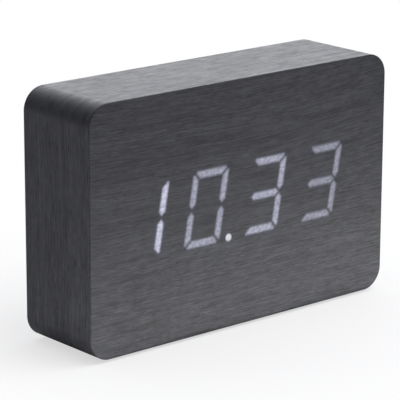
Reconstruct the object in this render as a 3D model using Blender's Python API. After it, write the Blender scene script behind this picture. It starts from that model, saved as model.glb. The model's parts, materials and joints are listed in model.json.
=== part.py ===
# Digital alarm clock with a veneered block case, in metres. +Z is up and the face looks along -Y.
# The origin is at the middle of the footprint, on the plane that the four foot pads stand on.
import bpy
import bmesh
from math import asin, cos, pi, radians, sin, sqrt, tan
from mathutils import Matrix, Vector

# Clearances that the whole assembly shares
GLUE_LINE = 0.0001
FIT_GAP = 0.0003
OVERRUN = 0.001      # how far a cut runs past the face that it opens
ROOT = 0.0005        # how far a joined shape reaches into the one that carries it
WELD_DISTANCE = 0.000001
ROUND_END_SHARE = 0.498   # a slot's end radius, of the slot's width

# Case
VENEER = 0.0006
VENEER_EDGE_ROUND = 0.0004
CASE_CORNER_RADIUS = 0.009
FACE_BOARD = 0.003
CASE_WALL = 0.009
CAVITY_CORNER_RADIUS = 0.015
SPACE_LEFT_OF_DISPLAY = 0.00465
SPACE_RIGHT_OF_DISPLAY = 0.01205
SPACE_ABOVE_DISPLAY = 0.0210
SPACE_BELOW_DISPLAY = 0.0230
WIRING_SPACE = 0.0144
FOOT_HEIGHT = 0.001
FOOT_DIAMETER = 0.009
FOOT_INSET_X = 0.014
FOOT_INSET_Y = 0.008
FOOT_EDGE_ROUND = 0.0002

# Display
DIGIT_COUNT = 4
DIGIT_HEIGHT = 0.0296
DIGIT_WIDTH = 0.0172
DIGIT_PITCH = 0.0301
DIGIT_SLANT = radians(10)
STROKE_ACROSS = 0.0027
STROKE_UPRIGHT = 0.0031
MITRE_GAP = 0.0007
MIDDLE_GAP = 0.0013
DOT_DIAMETER = 0.0033
DOT_RIGHT = 0.01325
DOT_DROP = 0.0139
DOT_DIGIT = 1
WINDOW_MARGIN_X = 0.0016
WINDOW_MARGIN_Z = 0.0030
WINDOW_CORNER_RADIUS = 0.0015
FILM = 0.0005
FILM_MARGIN = 0.0006
PLUG_DEPTH = 0.0008
PLUG_CLEARANCE = 0.00015
REFLECTOR_DEPTH = 0.0074
FLANGE_THICKNESS = 0.002
FLANGE_LIP_X = 0.0012
FLANGE_LIP_Z = 0.006
BOSS_DIAMETER = 0.0054
BOARD_THICKNESS = 0.0016
LED_WIDTH = 0.0016
LED_HEIGHT = 0.0008
LED_DEPTH = 0.0007
LED_SPREAD_SHARE = 0.25

# Screws
DISPLAY_SCREW = {"shank": 0.0020, "head": 0.0040, "head_height": 0.0013, "length": 0.0090}
BOARD_SCREW = {"shank": 0.0022, "head": 0.0042, "head_height": 0.0013, "length": 0.0060}
COVER_SCREW = {"shank": 0.0026, "head": 0.0050, "head_height": 0.0014, "length": 0.0100}
SCREW_HEAD_SHARES = ((0, 1), (0.6, 1), (0.9, 0.7), (1, 0.3), (1, 0))   # of the head's radius and height
SCREW_TIP_SHARE = 0.15
RECESS_WIDTH_SHARE = 0.56
RECESS_SLOT_SHARE = 0.16
RECESS_DEPTH_SHARE = 0.55
BITE_CLEARANCE = 0.00015
PILOT_TIP_ROOM = 0.0006

# Back cover
COVER_PLATE = 0.002
COVER_RECESS = 0.0005
COVER_LEDGE = 0.003
COVER_CORNER_RADIUS = 0.007
COVER_SCREW_INSET = 0.0020
COUNTERBORE_DEPTH = 0.0012
SOUND_SLOT_COUNT = 5
SOUND_SLOT_WIDTH = 0.0012
SOUND_SLOT_LENGTH = 0.0085
SOUND_SLOT_PITCH = 0.0024
MICROPHONE_HOLE = 0.0022

# Battery bay and cells
CELL_COUNT = 3
CELL_DIAMETER = 0.0105
CELL_LENGTH = 0.0445
CELL_NUB_DIAMETER = 0.0038
CELL_NUB_LENGTH = 0.0010
CELL_EDGE = 0.0005
CELL_SPACING_GAP = 0.0004
CELL_TO_DOOR = 0.0007
BAY_WALL = 0.0012
BAY_LEDGE = 0.0008
BAY_CORNER_RADIUS = 0.0012
BAY_TOP_ROOM = 0.0015
BAY_SIDE_SPACE = 0.0080
BAY_BELOW_SPACE = 0.0185
CONTACT_WIDTH = 0.0080
CONTACT_THICKNESS = 0.0004
CONTACT_TAIL_WIDTH = 0.0025
CONTACT_TAIL_LENGTH = 0.0020
SPRING_LENGTH = 0.0042
SPRING_WIRE = 0.0005
SPRING_BASE_RADIUS = 0.0036
SPRING_TIP_RADIUS = 0.0017
SPRING_TURNS = 3.25
SPRING_POINTS_PER_TURN = 10
SPRING_GAP_WANTED = 0.0004

# Battery door
DOOR_CORNER_RADIUS = 0.0016
DOOR_HINGE_SHARE = 0.65      # of the door's thickness, from the outer face in to the hinge line
DOOR_TAB_WIDTH = 0.0060
DOOR_TAB_SPREAD_SHARE = 0.56
DOOR_TAB_THICKNESS = 0.0012
DOOR_TAB_REACH = 0.0015
DOOR_TAB_FOOT = 0.0015
DOOR_LATCH_WIDTH = 0.0080
DOOR_LATCH_DEPTH = 0.0028
DOOR_LATCH_THICKNESS = 0.0011
DOOR_LATCH_CLEARANCE = 0.0005
DOOR_GRIP_WIDTH = 0.0110
DOOR_GRIP_HEIGHT = 0.0042
DOOR_GRIP_DEPTH = 0.0007

# Control board, with heights counted from its middle row of components
CONTROL_SIDE_SPACE = 0.0033
CONTROL_BESIDE_BUTTONS = 0.0054
CONTROL_ABOVE_BUTTONS = 0.0090
CONTROL_BELOW_MICROPHONE = 0.0070
CONTROL_ABOVE_MIDDLE = 0.0005
POST_HEIGHT = 0.0098
POST_DIAMETER = 0.0060
POST_INSET = 0.0036
BUTTON_NAMES = ("set_button", "up_button", "down_button")
BUTTON_PITCH = 0.0130
BUTTON_ROW_UP = 0.0130
BUTTON_CAP_DIAMETER = 0.0070
BUTTON_FLANGE_DIAMETER = 0.0092
BUTTON_FLANGE = 0.0015
BUTTON_STEM_DIAMETER = 0.0040
BUTTON_PROUD = 0.0004
BUTTON_EDGE = 0.0005
BUTTON_EDGE_SHARE = 0.3
BUTTON_DISH = 0.0002
BUTTON_DISH_SHARE = 0.75
SWITCH_WIDTH = 0.0060
SWITCH_HEIGHT = 0.0035
PLUNGER_DIAMETER = 0.0034
PLUNGER_OUT = 0.0014
PLUNGER_IN = 0.0008
PLUNGER_BORE_DEPTH = 0.0017
JACK_WIDTH = 0.0090
JACK_BORE = 0.0062
JACK_BORE_DEPTH = 0.0080
JACK_PIN_DIAMETER = 0.0020
JACK_PIN_DROP = 0.0046
JACK_COVER_HOLE = 0.0078
JACK_INSET = 0.0065
JACK_DOWN = 0.0125
BUZZER_DIAMETER = 0.0120
BUZZER_HEIGHT = 0.0065
BUZZER_HOLE = 0.0022
BUZZER_HOLE_DEPTH = 0.0030
BUZZER_TO_LEAD = 0.0009
BUZZER_DOWN = 0.0085
MICROPHONE_DIAMETER = 0.0060
MICROPHONE_HEIGHT = 0.0027
MICROPHONE_FACE_DIAMETER = 0.0046
MICROPHONE_FACE_DEPTH = 0.0004
MICROPHONE_DOWN = 0.0150
CAPACITOR_DIAMETER = 0.0063
CAPACITOR_HEIGHT = 0.0072
CAPACITOR_GROOVE = 0.0004
CAPACITOR_GROOVE_SHARE = 0.2
CAPACITOR_INSET = 0.00735
CRYSTAL_DIAMETER = 0.0020
CRYSTAL_LENGTH = 0.0060
CRYSTAL_RIGHT = 0.0060
CHIP_LONG = 0.0100
CHIP_WIDE = 0.0060
CHIP_BODY = 0.0012
CHIP_STAND_OFF = 0.0003
CHIP_PIN_COUNT = 6
CHIP_PIN_WIDTH = 0.0005
CHIP_PIN_REACH = 0.0010
DRIVER_CHIP_LEFT = 0.0220
CONTROL_CHIP_UP = 0.0060

# Wiring
RIBBON_WIDTH = 0.0120
RIBBON_THICKNESS = 0.0009
RIBBON_DROP = 0.0075
RIBBON_DOWN = 0.0135
RIBBON_STEPS = 20
LEAD_DIAMETER = 0.0012
LEAD_SPACING = 0.0030
LEAD_LANDING = 0.0030
LEAD_RUN_OUT = 0.0030
RED_LEAD_UP = 0.0050
BLACK_LEAD_DOWN = 0.0080
BLACK_LEAD_BELOW_BAY = 0.0030

# Facets
CORNER_STEPS = 6
SMALL_CORNER_STEPS = 3
ROUND_STEPS = 20
SCREW_STEPS = 10
HOLE_STEPS = 14

FINISHES = {
    "black_veneer": ((0.045, 0.046, 0.050), 0.42, 0.0),
    "fibreboard": ((0.060, 0.048, 0.038), 0.80, 0.0),
    "black_plastic": ((0.022, 0.022, 0.024), 0.48, 0.0),
    "white_film": ((0.78, 0.77, 0.82), 0.50, 0.0),
    "circuit_board": ((0.020, 0.120, 0.055), 0.45, 0.0),
    "chip_black": ((0.018, 0.018, 0.020), 0.55, 0.0),
    "bright_metal": ((0.62, 0.62, 0.60), 0.28, 1.0),
    "grey_insulation": ((0.30, 0.30, 0.31), 0.55, 0.0),
    "red_insulation": ((0.50, 0.03, 0.03), 0.50, 0.0),
    "black_insulation": ((0.02, 0.02, 0.02), 0.50, 0.0),
    "cell_wrap": ((0.10, 0.16, 0.30), 0.35, 0.2),
    "capacitor_sleeve": ((0.03, 0.04, 0.09), 0.40, 0.0),
    "dark_foam": ((0.030, 0.030, 0.032), 0.85, 0.0),
}


# Places that follow from the sizes above
veneer_and_glue = VENEER + GLUE_LINE
slant_shift = DIGIT_HEIGHT / 2 * tan(DIGIT_SLANT)
window_width = DIGIT_PITCH * (DIGIT_COUNT - 1) + DIGIT_WIDTH + 2 * slant_shift + 2 * WINDOW_MARGIN_X
window_height = DIGIT_HEIGHT + 2 * WINDOW_MARGIN_Z
cavity_width = window_width + SPACE_LEFT_OF_DISPLAY + SPACE_RIGHT_OF_DISPLAY
cavity_height = window_height + SPACE_ABOVE_DISPLAY + SPACE_BELOW_DISPLAY
core_width = cavity_width + 2 * CASE_WALL
core_height = cavity_height + 2 * CASE_WALL
case_width = core_width + 2 * veneer_and_glue
case_height = core_height + 2 * veneer_and_glue
core_corner_radius = CASE_CORNER_RADIUS - veneer_and_glue

bay_depth = FIT_GAP + CELL_DIAMETER + CELL_TO_DOOR
display_stack = (VENEER + FILM + REFLECTOR_DEPTH + BOARD_THICKNESS) + 3 * GLUE_LINE
case_depth = display_stack + WIRING_SPACE + BAY_WALL + bay_depth + COVER_PLATE + COVER_RECESS

front_y = -case_depth / 2
veneer_back = front_y + VENEER
face_board_front = veneer_back + GLUE_LINE
face_board_back = face_board_front + FACE_BOARD
ring_front = face_board_back + GLUE_LINE
film_back = face_board_front + FILM
reflector_front = film_back + GLUE_LINE
reflector_back = reflector_front + REFLECTOR_DEPTH
display_board_front = reflector_back + GLUE_LINE
display_board_back = display_board_front + BOARD_THICKNESS
bay_floor_front = display_board_back + WIRING_SPACE
bay_floor = bay_floor_front + BAY_WALL
cover_inside = bay_floor + bay_depth
cover_outside = cover_inside + COVER_PLATE
rear_y = cover_outside + COVER_RECESS

middle_z = FOOT_HEIGHT + case_height / 2
cavity_left = -cavity_width / 2
cavity_right = cavity_width / 2
cavity_bottom = middle_z - cavity_height / 2
display_x = cavity_left + SPACE_LEFT_OF_DISPLAY + window_width / 2
display_z = cavity_bottom + SPACE_BELOW_DISPLAY + window_height / 2
reflector_width = window_width - 2 * FIT_GAP
reflector_height = window_height - 2 * FIT_GAP
flange_width = reflector_width + 2 * FLANGE_LIP_X
flange_height = reflector_height + 2 * FLANGE_LIP_Z

cover_opening_width = cavity_width + 2 * COVER_LEDGE
cover_opening_height = cavity_height + 2 * COVER_LEDGE
cover_width = cover_opening_width - 2 * FIT_GAP
cover_height = cover_opening_height - 2 * FIT_GAP

cell_pitch = CELL_DIAMETER + CELL_SPACING_GAP
bay_height = CELL_COUNT * cell_pitch + CELL_SPACING_GAP + BAY_TOP_ROOM
contact_room = FIT_GAP + CONTACT_THICKNESS + GLUE_LINE
spring_room = 2 * FIT_GAP + SPRING_LENGTH
bay_length = contact_room + CELL_LENGTH + spring_room
bay_x = cavity_right - BAY_SIDE_SPACE - BAY_WALL - bay_length / 2
bay_z = cavity_bottom + BAY_BELOW_SPACE + BAY_WALL + bay_height / 2
cell_y = bay_floor + FIT_GAP + CELL_DIAMETER / 2

door_opening_length = bay_length + 2 * BAY_LEDGE
door_opening_height = bay_height + 2 * BAY_LEDGE
door_length = door_opening_length - 2 * FIT_GAP
door_height = door_opening_height - 2 * FIT_GAP
door_thickness = COVER_PLATE - FIT_GAP
hinge_depth = door_thickness * DOOR_HINGE_SHARE
door_inside = hinge_depth - door_thickness
hinge_y = cover_outside - hinge_depth
hinge_z = bay_z + door_height / 2 - hinge_depth

control_width = (len(BUTTON_NAMES) - 1) * BUTTON_PITCH + BUTTON_FLANGE_DIAMETER + 2 * CONTROL_BESIDE_BUTTONS
control_up = BUTTON_ROW_UP + CONTROL_ABOVE_BUTTONS
control_down = MICROPHONE_DOWN + CONTROL_BELOW_MICROPHONE
control_left = cavity_left + CONTROL_SIDE_SPACE
control_right = control_left + control_width
control_x = control_left + control_width / 2
control_z = middle_z + CONTROL_ABOVE_MIDDLE
control_back = cover_inside - POST_HEIGHT - GLUE_LINE
control_front = control_back - BOARD_THICKNESS
on_board = control_back + GLUE_LINE
button_row_z = control_z + BUTTON_ROW_UP
jack_x = control_left + JACK_INSET + JACK_WIDTH / 2
jack_z = control_z - JACK_DOWN
landing_x = control_right - LEAD_LANDING
buzzer_x = landing_x - LEAD_DIAMETER / 2 - BUZZER_TO_LEAD - BUZZER_DIAMETER / 2
buzzer_z = control_z - BUZZER_DOWN
capacitor_x = control_left + CAPACITOR_INSET + CAPACITOR_DIAMETER / 2
microphone_z = control_z - MICROPHONE_DOWN
plunger_tip = on_board + SWITCH_HEIGHT + PLUNGER_OUT


# Outlines, as points in the plane of the face
def rounded_rectangle(width, height, radius, steps=CORNER_STEPS):
    points = []
    for turn in range(4):
        middle = radians(90 * turn + 45)
        corner_x = (width / 2 - radius) * (1 if cos(middle) > 0 else -1)
        corner_z = (height / 2 - radius) * (1 if sin(middle) > 0 else -1)
        for step in range(steps + 1):
            angle = pi / 2 * (turn + step / steps)
            points.append((corner_x + radius * cos(angle), corner_z + radius * sin(angle)))
    return points


def flat_topped(width, height, radius):
    # square corners at the top and rounded ones at the bottom
    lower = [point for point in rounded_rectangle(width, height, radius, SMALL_CORNER_STEPS) if point[1] < 0]
    return [(width / 2, height / 2), (-width / 2, height / 2)] + lower


def shrunk(points, distance):
    # each side of a convex outline moves inwards by the distance
    lines = []
    for (x1, z1), (x2, z2) in zip(points, points[1:] + points[:1]):
        side = Vector((x2 - x1, z2 - z1)).normalized()
        inward = Vector((-side.y, side.x))
        lines.append((Vector((x1, z1)) + inward * distance, side))
    corners = []
    for (start, along), (other, across) in zip(lines[-1:] + lines[:-1], lines):
        reach = (other - start).cross(across) / along.cross(across)
        corners.append(tuple(start + along * reach))
    return corners


def slanted(points):
    return [(x + z * tan(DIGIT_SLANT), z) for x, z in points]


def segment_outlines():
    # the seven strokes of a digit round its middle, counter-clockwise, before the slant
    side = DIGIT_WIDTH / 2
    top = DIGIT_HEIGHT / 2
    mitre = MITRE_GAP / sqrt(2)
    upright = STROKE_UPRIGHT
    across = STROKE_ACROSS
    notch = MIDDLE_GAP / 2
    tip = side - upright / 2 - (MITRE_GAP * sqrt(2) - notch)
    bar_top = [(side - mitre, top), (mitre - side, top),
               (mitre + upright - side, top - across), (side - upright - mitre, top - across)]
    bar_bottom = [(-x, -z) for x, z in bar_top]
    bar_middle = [(tip, 0), (tip - across / 2, across / 2), (across / 2 - tip, across / 2),
                  (-tip, 0), (across / 2 - tip, -across / 2), (tip - across / 2, -across / 2)]
    upper_right = [(side, top - mitre), (side - upright, top - across - mitre),
                   (side - upright, notch + upright / 2), (side - upright / 2, notch),
                   (side, notch + upright / 2)]
    upper_left = [(-x, z) for x, z in reversed(upper_right)]
    lower_right = [(x, -z) for x, z in reversed(upper_right)]
    lower_left = [(-x, -z) for x, z in upper_right]
    return [bar_top, upper_right, lower_right, bar_bottom, lower_left, upper_left, bar_middle]


def segment_middle(points):
    # the middle of a stroke, and half of its run each way
    xs = [x for x, z in points]
    zs = [z for x, z in points]
    middle = ((min(xs) + max(xs)) / 2, (min(zs) + max(zs)) / 2)
    run = (max(xs) - min(xs), max(zs) - min(zs))
    return middle, (run[0], 0) if run[0] > run[1] else (0, run[1])


def dot_outline(diameter):
    middle = (DOT_RIGHT - DOT_DROP * tan(DIGIT_SLANT), -DOT_DROP)
    return [(middle[0] + diameter / 2 * cos(2 * pi * k / HOLE_STEPS),
             middle[1] + diameter / 2 * sin(2 * pi * k / HOLE_STEPS)) for k in range(HOLE_STEPS)]


def digit_x(index):
    return (index - (DIGIT_COUNT - 1) / 2) * DIGIT_PITCH


# Shapes
def moved(points, x, z):
    return [(px + x, pz + z) for px, pz in points]


def add_slab(bm, points, front, back):
    # the outline filled at the front and drawn out to the back
    face = bm.faces.new([bm.verts.new((x, front, z)) for x, z in points])
    drawn = bmesh.ops.extrude_face_region(bm, geom=[face], use_keep_orig=True)
    verts = [part for part in drawn["geom"] if isinstance(part, bmesh.types.BMVert)]
    bmesh.ops.translate(bm, verts=verts, vec=(0, back - front, 0))


def add_frame(bm, outer, inner, front, back):
    # two outlines with as many points each, bridged, and drawn out to the back
    edges = []
    for points in (outer, inner):
        verts = [bm.verts.new((x, front, z)) for x, z in points]
        edges += [bm.edges.new(pair) for pair in zip(verts, verts[1:] + verts[:1])]
    faces = bmesh.ops.bridge_loops(bm, edges=edges)["faces"]
    drawn = bmesh.ops.extrude_face_region(bm, geom=faces, use_keep_orig=True)
    verts = [part for part in drawn["geom"] if isinstance(part, bmesh.types.BMVert)]
    bmesh.ops.translate(bm, verts=verts, vec=(0, back - front, 0))


def add_box(bm, low, high):
    middle = Matrix.Translation([(a + b) / 2 for a, b in zip(low, high)])
    size = Matrix.Diagonal([b - a for a, b in zip(low, high)] + [1])
    bmesh.ops.create_cube(bm, size=1, matrix=middle @ size)


def add_turned(bm, profile, steps=ROUND_STEPS, x=0, z=0, axis="Y"):
    # (radius, distance) pairs turned about an axis, from one end on the axis to the other
    along = {"X": Vector((1, 0, 0)), "Y": Vector((0, 1, 0)), "Z": Vector((0, 0, 1))}[axis]
    out = Vector((0, 0, 1)) if axis != "Z" else Vector((1, 0, 0))
    middle = Vector((x, 0, z))
    verts = [bm.verts.new(middle + out * radius + along * distance) for radius, distance in profile]
    edges = [bm.edges.new(pair) for pair in zip(verts, verts[1:])]
    bmesh.ops.spin(bm, geom=verts + edges, cent=middle, axis=along, angle=2 * pi, steps=steps,
                   use_merge=True, use_duplicate=False)
    bmesh.ops.remove_doubles(bm, verts=bm.verts, dist=WELD_DISTANCE)


def add_rod(bm, diameter, start, end, steps=HOLE_STEPS, x=0, z=0, axis="Y"):
    add_turned(bm, [(0, start), (diameter / 2, start), (diameter / 2, end), (0, end)], steps, x, z, axis)


# Objects
def finish_material(name, finish):
    colour, roughness, metallic = FINISHES[finish]
    material = bpy.data.materials.new(name + "_finish")
    material.use_nodes = True
    shader = material.node_tree.nodes["Principled BSDF"]
    shader.inputs["Base Color"].default_value = (*colour, 1)
    shader.inputs["Roughness"].default_value = roughness
    shader.inputs["Metallic"].default_value = metallic
    material.diffuse_color = (*colour, 1)
    return material


def add_object(name, bm, location, parent=None):
    bmesh.ops.recalc_face_normals(bm, faces=bm.faces)
    mesh = bpy.data.meshes.new(name)
    bm.to_mesh(mesh)
    bm.free()
    obj = bpy.data.objects.new(name, mesh)
    obj.location = location
    obj.parent = parent
    bpy.context.scene.collection.objects.link(obj)
    return obj


def add_part(name, bm, finish, location=(0, 0, 0), parent=None, round_piece=False):
    part = add_object(name, bm, location, parent)
    part.data.materials.append(finish_material(name, finish))
    if round_piece:
        part.data.shade_smooth()
        part.data.set_sharp_from_angle(angle=radians(35))
    return part


def add_tool(name, bm, location=(0, 0, 0), parent=None):
    # a shape that only cuts or joins another, and is no part of the clock
    tool = add_object(name, bm, location, parent)
    tool.hide_render = True
    tool.display_type = "WIRE"
    return tool


def combine(part, tool, operation):
    modifier = part.modifiers.new(tool.name, "BOOLEAN")
    modifier.operation = operation
    modifier.object = tool
    modifier.solver = "EXACT"


def cut(part, tool):
    combine(part, tool, "DIFFERENCE")


def join(part, tool):
    combine(part, tool, "UNION")


def add_screw(name, sizes, finish, location, towards_rear):
    # a pan head on a round shank; the location is where the head's underside seats
    way = 1 if towards_rear else -1
    head = sizes["head"] / 2
    top = sizes["head_height"]
    shank = sizes["shank"] / 2
    length = sizes["length"]
    profile = [(head * out, top * up) for out, up in SCREW_HEAD_SHARES]
    profile += [(shank, 0), (shank, -length * (1 - SCREW_TIP_SHARE)), (0, -length)]
    bm = bmesh.new()
    add_turned(bm, [(radius, way * distance) for radius, distance in profile], SCREW_STEPS)
    screw = add_part(name, bm, finish, location, round_piece=True)
    slot = head * RECESS_SLOT_SHARE
    reach = head * RECESS_WIDTH_SHARE
    floor = top * (1 - RECESS_DEPTH_SHARE)
    cross = [(slot, slot), (slot, reach), (-slot, reach), (-slot, slot), (-reach, slot), (-reach, -slot),
             (-slot, -slot), (-slot, -reach), (slot, -reach), (slot, -slot), (reach, -slot), (reach, slot)]
    bm = bmesh.new()
    add_slab(bm, cross, way * floor, way * (top + OVERRUN))
    cut(screw, add_tool(name + "_recess", bm, location))
    return screw


# Case
def add_veneers():
    outline = rounded_rectangle(case_width, case_height, CASE_CORNER_RADIUS)
    bm = bmesh.new()
    add_slab(bm, outline, 0, VENEER)
    front_edges = [edge for edge in bm.edges if all(v.co.y == 0 for v in edge.verts)]
    bmesh.ops.bevel(bm, geom=front_edges, offset=VENEER_EDGE_ROUND, segments=2, profile=0.5,
                    affect="EDGES", clamp_overlap=True)
    add_part("front_veneer", bm, "black_veneer", (0, front_y, middle_z))

    inner = rounded_rectangle(case_width - 2 * VENEER, case_height - 2 * VENEER, CASE_CORNER_RADIUS - VENEER)
    bm = bmesh.new()
    add_frame(bm, outline, inner, face_board_front, rear_y)
    add_part("band_veneer", bm, "black_veneer", (0, 0, middle_z))


def add_front_board():
    bm = bmesh.new()
    outline = rounded_rectangle(core_width, core_height, core_corner_radius)
    add_slab(bm, outline, face_board_front, face_board_back)
    board = add_part("front_board", bm, "fibreboard", (0, 0, middle_z))
    bm = bmesh.new()
    window = rounded_rectangle(window_width, window_height, WINDOW_CORNER_RADIUS, SMALL_CORNER_STEPS)
    add_slab(bm, window, face_board_front - OVERRUN, face_board_back + OVERRUN)
    cut(board, add_tool("front_board_window", bm, (display_x, 0, display_z)))
    bm = bmesh.new()
    pilot = DISPLAY_SCREW["shank"] + 2 * BITE_CLEARANCE
    pilot_end = display_screw_seat() - DISPLAY_SCREW["length"] - PILOT_TIP_ROOM
    for x, z in display_screw_places():
        add_rod(bm, pilot, pilot_end, face_board_back + OVERRUN, x=x, z=z)
    cut(board, add_tool("front_board_pilots", bm, (display_x, 0, display_z)))


def add_case_ring():
    outer = rounded_rectangle(core_width, core_height, core_corner_radius)
    inner = rounded_rectangle(cavity_width, cavity_height, CAVITY_CORNER_RADIUS)
    bm = bmesh.new()
    add_frame(bm, outer, inner, ring_front, rear_y)
    ring = add_part("case_ring", bm, "fibreboard", (0, 0, middle_z))
    bm = bmesh.new()
    opening = rounded_rectangle(cover_opening_width, cover_opening_height, COVER_CORNER_RADIUS + FIT_GAP)
    add_slab(bm, opening, cover_inside - GLUE_LINE, rear_y + OVERRUN)
    cut(ring, add_tool("case_ring_rebate", bm, (0, 0, middle_z)))
    bm = bmesh.new()
    pilot = COVER_SCREW["shank"] + 2 * BITE_CLEARANCE
    pilot_end = cover_screw_seat() - COVER_SCREW["length"] - PILOT_TIP_ROOM
    for x, z in cover_screw_places():
        add_rod(bm, pilot, pilot_end, cover_inside + OVERRUN, x=x, z=z)
    cut(ring, add_tool("case_ring_pilots", bm, (0, 0, middle_z)))


def add_foot_pads():
    radius = FOOT_DIAMETER / 2
    top = FOOT_HEIGHT - GLUE_LINE
    number = 0
    for side in (-1, 1):
        for end in (-1, 1):
            number += 1
            bm = bmesh.new()
            add_turned(bm, [(0, 0), (radius - FOOT_EDGE_ROUND, 0), (radius, FOOT_EDGE_ROUND), (radius, top),
                            (0, top)], axis="Z")
            place = (side * (case_width / 2 - FOOT_INSET_X), end * (case_depth / 2 - FOOT_INSET_Y), 0)
            add_part(f"foot_pad_{number}", bm, "dark_foam", place, round_piece=True)


# Display
def display_screw_places():
    x = reflector_width / 2 - BOSS_DIAMETER / 2
    z = reflector_height / 2 + FLANGE_LIP_Z / 2
    return [(-x, z), (x, z), (-x, -z), (x, -z)]


def display_screw_seat():
    return display_board_back + GLUE_LINE


def digit_shapes(index):
    shapes = [slanted(points) for points in segment_outlines()]
    if index == DOT_DIGIT:
        shapes.append(dot_outline(DOT_DIAMETER))
    return shapes


def add_reflector():
    bm = bmesh.new()
    add_slab(bm, rounded_rectangle(flange_width, flange_height, WINDOW_CORNER_RADIUS, SMALL_CORNER_STEPS),
             ring_front, ring_front + FLANGE_THICKNESS)
    place = (display_x, 0, display_z)
    reflector = add_part("display_reflector", bm, "black_plastic", place)
    bm = bmesh.new()
    block = rounded_rectangle(reflector_width, reflector_height, WINDOW_CORNER_RADIUS - FIT_GAP,
                              SMALL_CORNER_STEPS)
    add_slab(bm, block, reflector_front, reflector_back)
    join(reflector, add_tool("reflector_block", bm, place))
    bm = bmesh.new()
    for x, z in display_screw_places():
        add_rod(bm, BOSS_DIAMETER, ring_front + ROOT, reflector_back, x=x, z=z)
    join(reflector, add_tool("reflector_bosses", bm, place))
    bm = bmesh.new()
    hole = DISPLAY_SCREW["shank"] + 2 * FIT_GAP
    for x, z in display_screw_places():
        add_rod(bm, hole, ring_front - OVERRUN, reflector_back + OVERRUN, x=x, z=z)
    cut(reflector, add_tool("reflector_screw_holes", bm, place))
    bm = bmesh.new()
    for index in range(DIGIT_COUNT):
        for points in digit_shapes(index):
            well = moved(points, digit_x(index), 0)
            add_slab(bm, well, reflector_front - OVERRUN, reflector_back + OVERRUN)
    cut(reflector, add_tool("reflector_wells", bm, place))


def add_diffuser(index):
    # a printed film with one light plug behind each stroke
    name = f"digit_{index + 1}_diffuser"
    place = (display_x + digit_x(index), 0, display_z)
    bm = bmesh.new()
    left = FILM_MARGIN - WINDOW_MARGIN_X - DIGIT_WIDTH / 2 - slant_shift
    right = DIGIT_PITCH + left - FILM_MARGIN if index < DIGIT_COUNT - 1 else -left
    height = reflector_height - 2 * FILM_MARGIN
    sheet = rounded_rectangle(right - left, height, FILM_MARGIN, SMALL_CORNER_STEPS)
    add_slab(bm, moved(sheet, (left + right) / 2, 0), face_board_front, film_back)
    film = add_part(name, bm, "white_film", place)
    bm = bmesh.new()
    for points in digit_shapes(index):
        add_slab(bm, shrunk(points, PLUG_CLEARANCE), film_back - FILM / 2, film_back + PLUG_DEPTH)
    join(film, add_tool(name + "_plugs", bm, place))


def led_places():
    # two lamps behind each stroke, and one behind the dot
    places = []
    for index in range(DIGIT_COUNT):
        for points in segment_outlines():
            (middle_x, height), (run_x, run_z) = segment_middle(points)
            for way in (-LED_SPREAD_SHARE, LED_SPREAD_SHARE):
                z = height + way * run_z
                places.append((digit_x(index) + middle_x + way * run_x + z * tan(DIGIT_SLANT), z))
    places.append((digit_x(DOT_DIGIT) + DOT_RIGHT - DOT_DROP * tan(DIGIT_SLANT), -DOT_DROP))
    return places


def add_display_board():
    bm = bmesh.new()
    add_slab(bm, rounded_rectangle(flange_width, flange_height, WINDOW_CORNER_RADIUS, SMALL_CORNER_STEPS),
             display_board_front, display_board_back)
    place = (display_x, 0, display_z)
    board = add_part("display_board", bm, "circuit_board", place)
    bm = bmesh.new()
    low = display_board_front - LED_DEPTH
    high = display_board_front + ROOT
    wide = LED_WIDTH / 2
    tall = LED_HEIGHT / 2
    for x, z in led_places():
        add_box(bm, (x - wide, low, z - tall), (x + wide, high, z + tall))
    join(board, add_tool("display_leds", bm, place))
    bm = bmesh.new()
    hole = DISPLAY_SCREW["shank"] + 2 * FIT_GAP
    for x, z in display_screw_places():
        add_rod(bm, hole, display_board_front - OVERRUN, display_board_back + OVERRUN, x=x, z=z)
    cut(board, add_tool("display_board_holes", bm, place))
    for number, (x, z) in enumerate(display_screw_places(), 1):
        add_screw(f"display_screw_{number}", DISPLAY_SCREW, "bright_metal",
                  (display_x + x, display_screw_seat(), display_z + z), towards_rear=True)


def add_chip(name, place, towards_rear):
    # a flat body with a row of gull legs on each long side, standing on the board at the place given
    way = 1 if towards_rear else -1
    bm = bmesh.new()
    top = CHIP_STAND_OFF + CHIP_BODY
    body = rounded_rectangle(CHIP_LONG, CHIP_WIDE, CHIP_PIN_WIDTH, 1)
    add_slab(bm, body, way * CHIP_STAND_OFF, way * top)
    chip = add_part(name, bm, "chip_black", place)
    bm = bmesh.new()
    leg_pitch = CHIP_LONG / CHIP_PIN_COUNT
    half = CHIP_PIN_WIDTH / 2
    levels = sorted((0, way * (CHIP_STAND_OFF + CHIP_BODY / 2)))
    for pin in range(CHIP_PIN_COUNT):
        x = (pin - (CHIP_PIN_COUNT - 1) / 2) * leg_pitch
        for side in (-1, 1):
            ends = sorted((side * (CHIP_WIDE / 2 - ROOT), side * (CHIP_WIDE / 2 + CHIP_PIN_REACH)))
            add_box(bm, (x - half, levels[0], ends[0]), (x + half, levels[1], ends[1]))
    join(chip, add_tool(name + "_legs", bm, place))


# Back cover
def cover_screw_places():
    x = cavity_width / 2 - COVER_SCREW_INSET
    z = cavity_height / 2 - COVER_SCREW_INSET
    return [(-x, z), (x, z), (-x, -z), (x, -z)]


def cover_screw_seat():
    return cover_outside - COUNTERBORE_DEPTH + GLUE_LINE


def post_places():
    return [(control_left + POST_INSET, control_z + control_up - POST_INSET),
            (control_right - POST_INSET, control_z - control_down + POST_INSET)]


def button_x(index):
    return control_x + (index - (len(BUTTON_NAMES) - 1) / 2) * BUTTON_PITCH


def cell_z(index):
    return bay_z - BAY_TOP_ROOM / 2 + ((CELL_COUNT - 1) / 2 - index) * cell_pitch


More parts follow.
